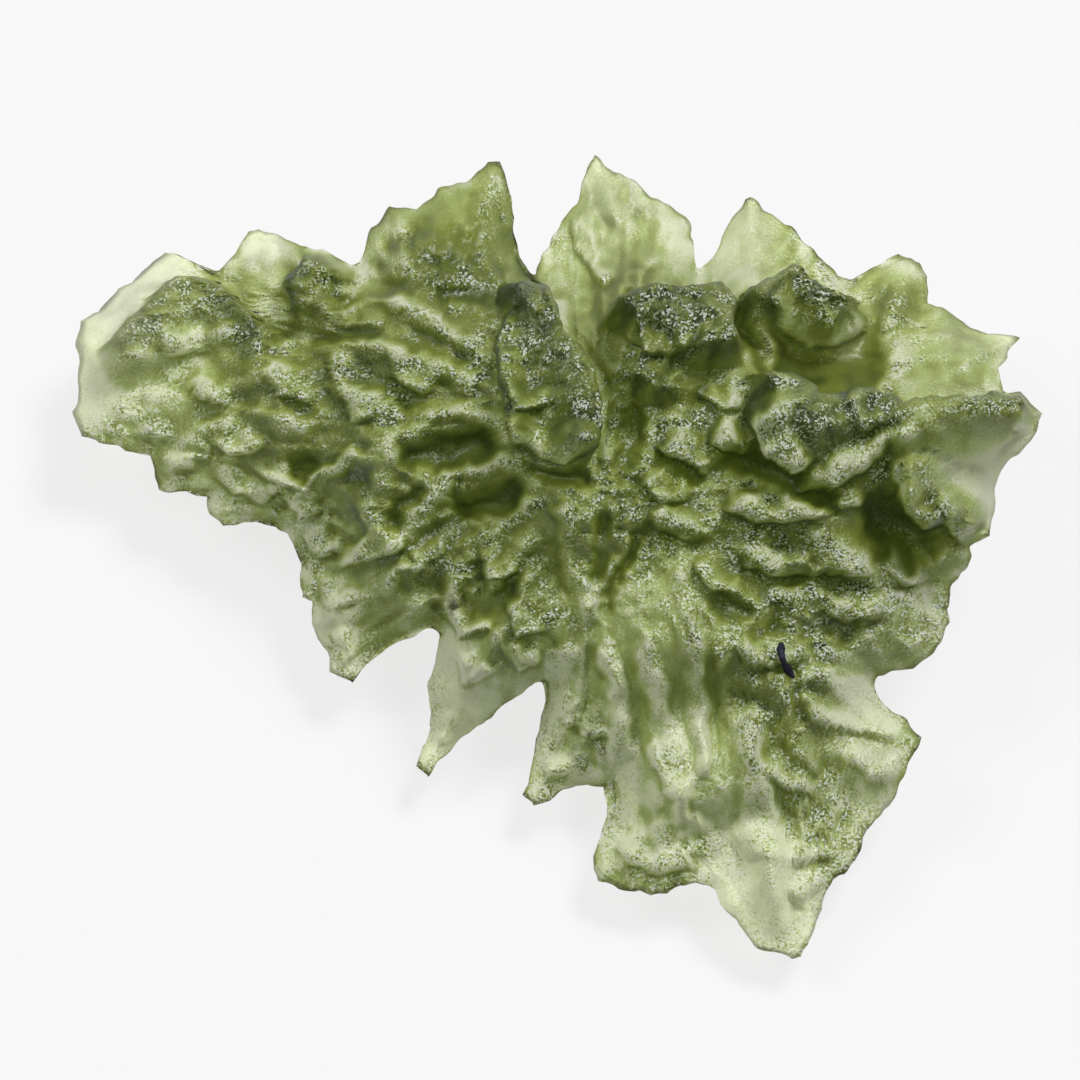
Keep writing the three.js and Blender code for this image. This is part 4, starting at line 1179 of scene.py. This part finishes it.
def fibre_mesh():
    """A closed tube, thinner at both ends, along the smoothed path on the skin."""
    path = np.array(FIBRE_PATH, dtype=float)
    t = np.linspace(0.0, 1.0, FIBRE_STEPS)
    stops = np.linspace(0.0, 1.0, len(path))
    x, y = (np.interp(t, stops, path[:, k]) for k in (0, 1))
    w = smoothed_line(skin_height(x, y)) + FIBRE_LIFT * FIBRE_RADIUS
    x, y = smoothed_line(x), smoothed_line(y)
    radius = FIBRE_RADIUS * (1.0 - FIBRE_TAPER * np.abs(2.0 * t - 1.0) ** TAPER_POWER) / UNIT
    radius = radius * (1.0 + FIBRE_UNEVEN * value_noise(UNEVEN_TURNS * t, 0.0 * t, SEEDS["fibre"]))
    across = np.stack([-np.gradient(y), np.gradient(x)], -1)
    across /= np.linalg.norm(across, axis=-1, keepdims=True)
    turn = np.linspace(0.0, 2 * np.pi, FIBRE_SIDES, endpoint=False)
    side, lift = np.cos(turn) * radius[:, None], np.sin(turn) * radius[:, None] * UNIT
    rings_x, rings_y = x[:, None] + side * across[:, :1], y[:, None] + side * across[:, 1:]
    rings = to_stone(rings_x, rings_y, w[:, None] + lift)
    points = (rings.reshape(-1, 3) - ORIGIN) * MM
    ids = np.arange(len(points)).reshape(FIBRE_STEPS, FIBRE_SIDES)
    after = np.roll(ids, -1, axis=1)
    faces = np.stack([ids[:-1], ids[1:], after[1:], after[:-1]], -1).reshape(-1, 4).tolist()
    faces += [ids[0].tolist(), ids[-1][::-1].tolist()]
    mesh = bpy.data.meshes.new("lint_fibre")
    mesh.from_pydata(points.tolist(), [], faces)
    mesh.shade_smooth()
    return placed_in_scene("lint_fibre", mesh)


def smoothed_line(values):
    """Inner values become the mean of their neighbours, over and over; the ends stay."""
    values = values.copy()
    for _ in range(FIBRE_SOFTENING):
        values[1:-1] = (values[:-2] + values[2:]) / 2.0
    return values


def lint_material():
    """Matt blue-black, a little lighter in streaks of noise."""
    material = bpy.data.materials.new("lint_fibre")
    material.use_nodes = True
    tree = material.node_tree
    shader = tree.nodes["Principled BSDF"]
    shader.inputs["Roughness"].default_value = LINT_ROUGHNESS
    shader.inputs["Specular IOR Level"].default_value = LINT_SPECULAR
    where = tree.nodes.new("ShaderNodeTexCoord").outputs["Object"]
    lint = mixed(tree, noise(tree, where, LINT_NOISE, 1.0), LINT_DARK, LINT_LIGHT)
    tree.links.new(lint, shader.inputs["Base Color"])
    return material


fibre = fibre_mesh()
fibre.data.materials.append(lint_material())
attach(fibre, "root")
print("fibre:", len(fibre.data.vertices), "vertices")

# %% [markdown]
# ## Floor, light and camera
#
# The floor is plain and pale and glows a little, so that some light comes up through the thin
# edges of the glass. Two soft square lights stand high over it: the stronger one on the right
# and a little behind, the weaker one on the left.
#
# A very long lens looks square onto the drawing sheet, so the drawing keeps its proportions.


# %% Floor
FLOOR_HALF = 3.0  # metres
FLOOR_DROP = 0.00003  # metres, keeps the floor clear of the flat that the stone rests on
FLOOR_GREY = 0.08
FLOOR_GLOW = 0.78
WHITE = (1.0, 1.0, 1.0, 1.0)


def plain_floor():
    """A wide pale square just under the stone."""
    mesh = bpy.data.meshes.new("floor")
    signs = [(-1, -1), (1, -1), (1, 1), (-1, 1)]
    corners = [(x * FLOOR_HALF, y * FLOOR_HALF, -FLOOR_DROP) for x, y in signs]
    mesh.from_pydata(corners, [], [(0, 1, 2, 3)])
    material = bpy.data.materials.new("floor")
    material.use_nodes = True
    shader = material.node_tree.nodes["Principled BSDF"]
    shader.inputs["Base Color"].default_value = (FLOOR_GREY, FLOOR_GREY, FLOOR_GREY, 1.0)
    shader.inputs["Roughness"].default_value = 1.0
    shader.inputs["Specular IOR Level"].default_value = 0.0
    shader.inputs["Emission Color"].default_value = WHITE
    shader.inputs["Emission Strength"].default_value = FLOOR_GLOW
    mesh.materials.append(material)
    return placed_in_scene("floor", mesh)


floor = plain_floor()
print("floor:", 2 * FLOOR_HALF, "m wide")

# %% Sky and lights
SKY_LIGHT = 0.25  # what the sky gives to the stone
SKY_SEEN = 0.65  # added where the camera sees the sky itself, to make it nearly as pale as the floor
LIGHT_SIZE = 0.22  # metres
KEY = ((0.26, 0.16, 0.66), 7.6)  # place in metres and power in watts
FILL = ((-0.40, 0.05, 0.55), 2.7)
NEARLY_BACK = (0.0, 1.0, 0.01)  # never quite in line with a light

scene = bpy.context.scene
scene.view_settings.view_transform = "Standard"
world = bpy.data.worlds.new("studio")
world.use_nodes = True
background = world.node_tree.nodes["Background"]
background.inputs["Color"].default_value = WHITE
rays = world.node_tree.nodes.new("ShaderNodeLightPath")
seen = number(world.node_tree, "MULTIPLY_ADD", rays.outputs["Is Camera Ray"], SKY_SEEN, SKY_LIGHT)
world.node_tree.links.new(seen, background.inputs["Strength"])
scene.world = world


def turned(obj, right, up, back, place):
    """Sets an object's place and its three axes; lights and cameras look along minus back."""
    matrix = np.eye(4)
    for column, axis in enumerate((right, up, back, place)):
        matrix[:3, column] = axis
    obj.matrix_world = Matrix(matrix.tolist())


def soft_light(name, place, power):
    """A square area light at place (metres) that faces the middle of the scene."""
    data = bpy.data.lights.new(name, "AREA")
    data.size = LIGHT_SIZE
    data.energy = power
    back = np.array(place) / np.linalg.norm(place)
    right = np.cross(NEARLY_BACK, back)
    right /= np.linalg.norm(right)
    turned(placed_in_scene(name, data), right, np.cross(back, right), back, place)


soft_light("key", *KEY)
soft_light("fill", *FILL)
print("lights:", [light.name for light in bpy.data.lights])

# %% Camera
LENS = 500.0  # mm
SENSOR = 36.0  # mm
VIEW_CENTRE = (540.0, 540.0, 5.0)  # sheet steps across and down, and mm above the sheet
VIEW_WIDTH = 1080 * UNIT  # mm

camera_data = bpy.data.cameras.new("camera")
camera_data.lens = LENS
camera_data.sensor_width = SENSOR
camera = placed_in_scene("camera", camera_data)
target = (to_stone(*VIEW_CENTRE) - ORIGIN) * MM
normal = np.array(OUTWARD)
away = VIEW_WIDTH * MM * LENS / camera_data.sensor_width
turned(camera, (1.0, 0.0, 0.0), (0.0, np.sin(LEAN), np.cos(LEAN)), normal, target + normal * away)
scene.camera = camera
print("camera distance, m:", round(float(away), 3))
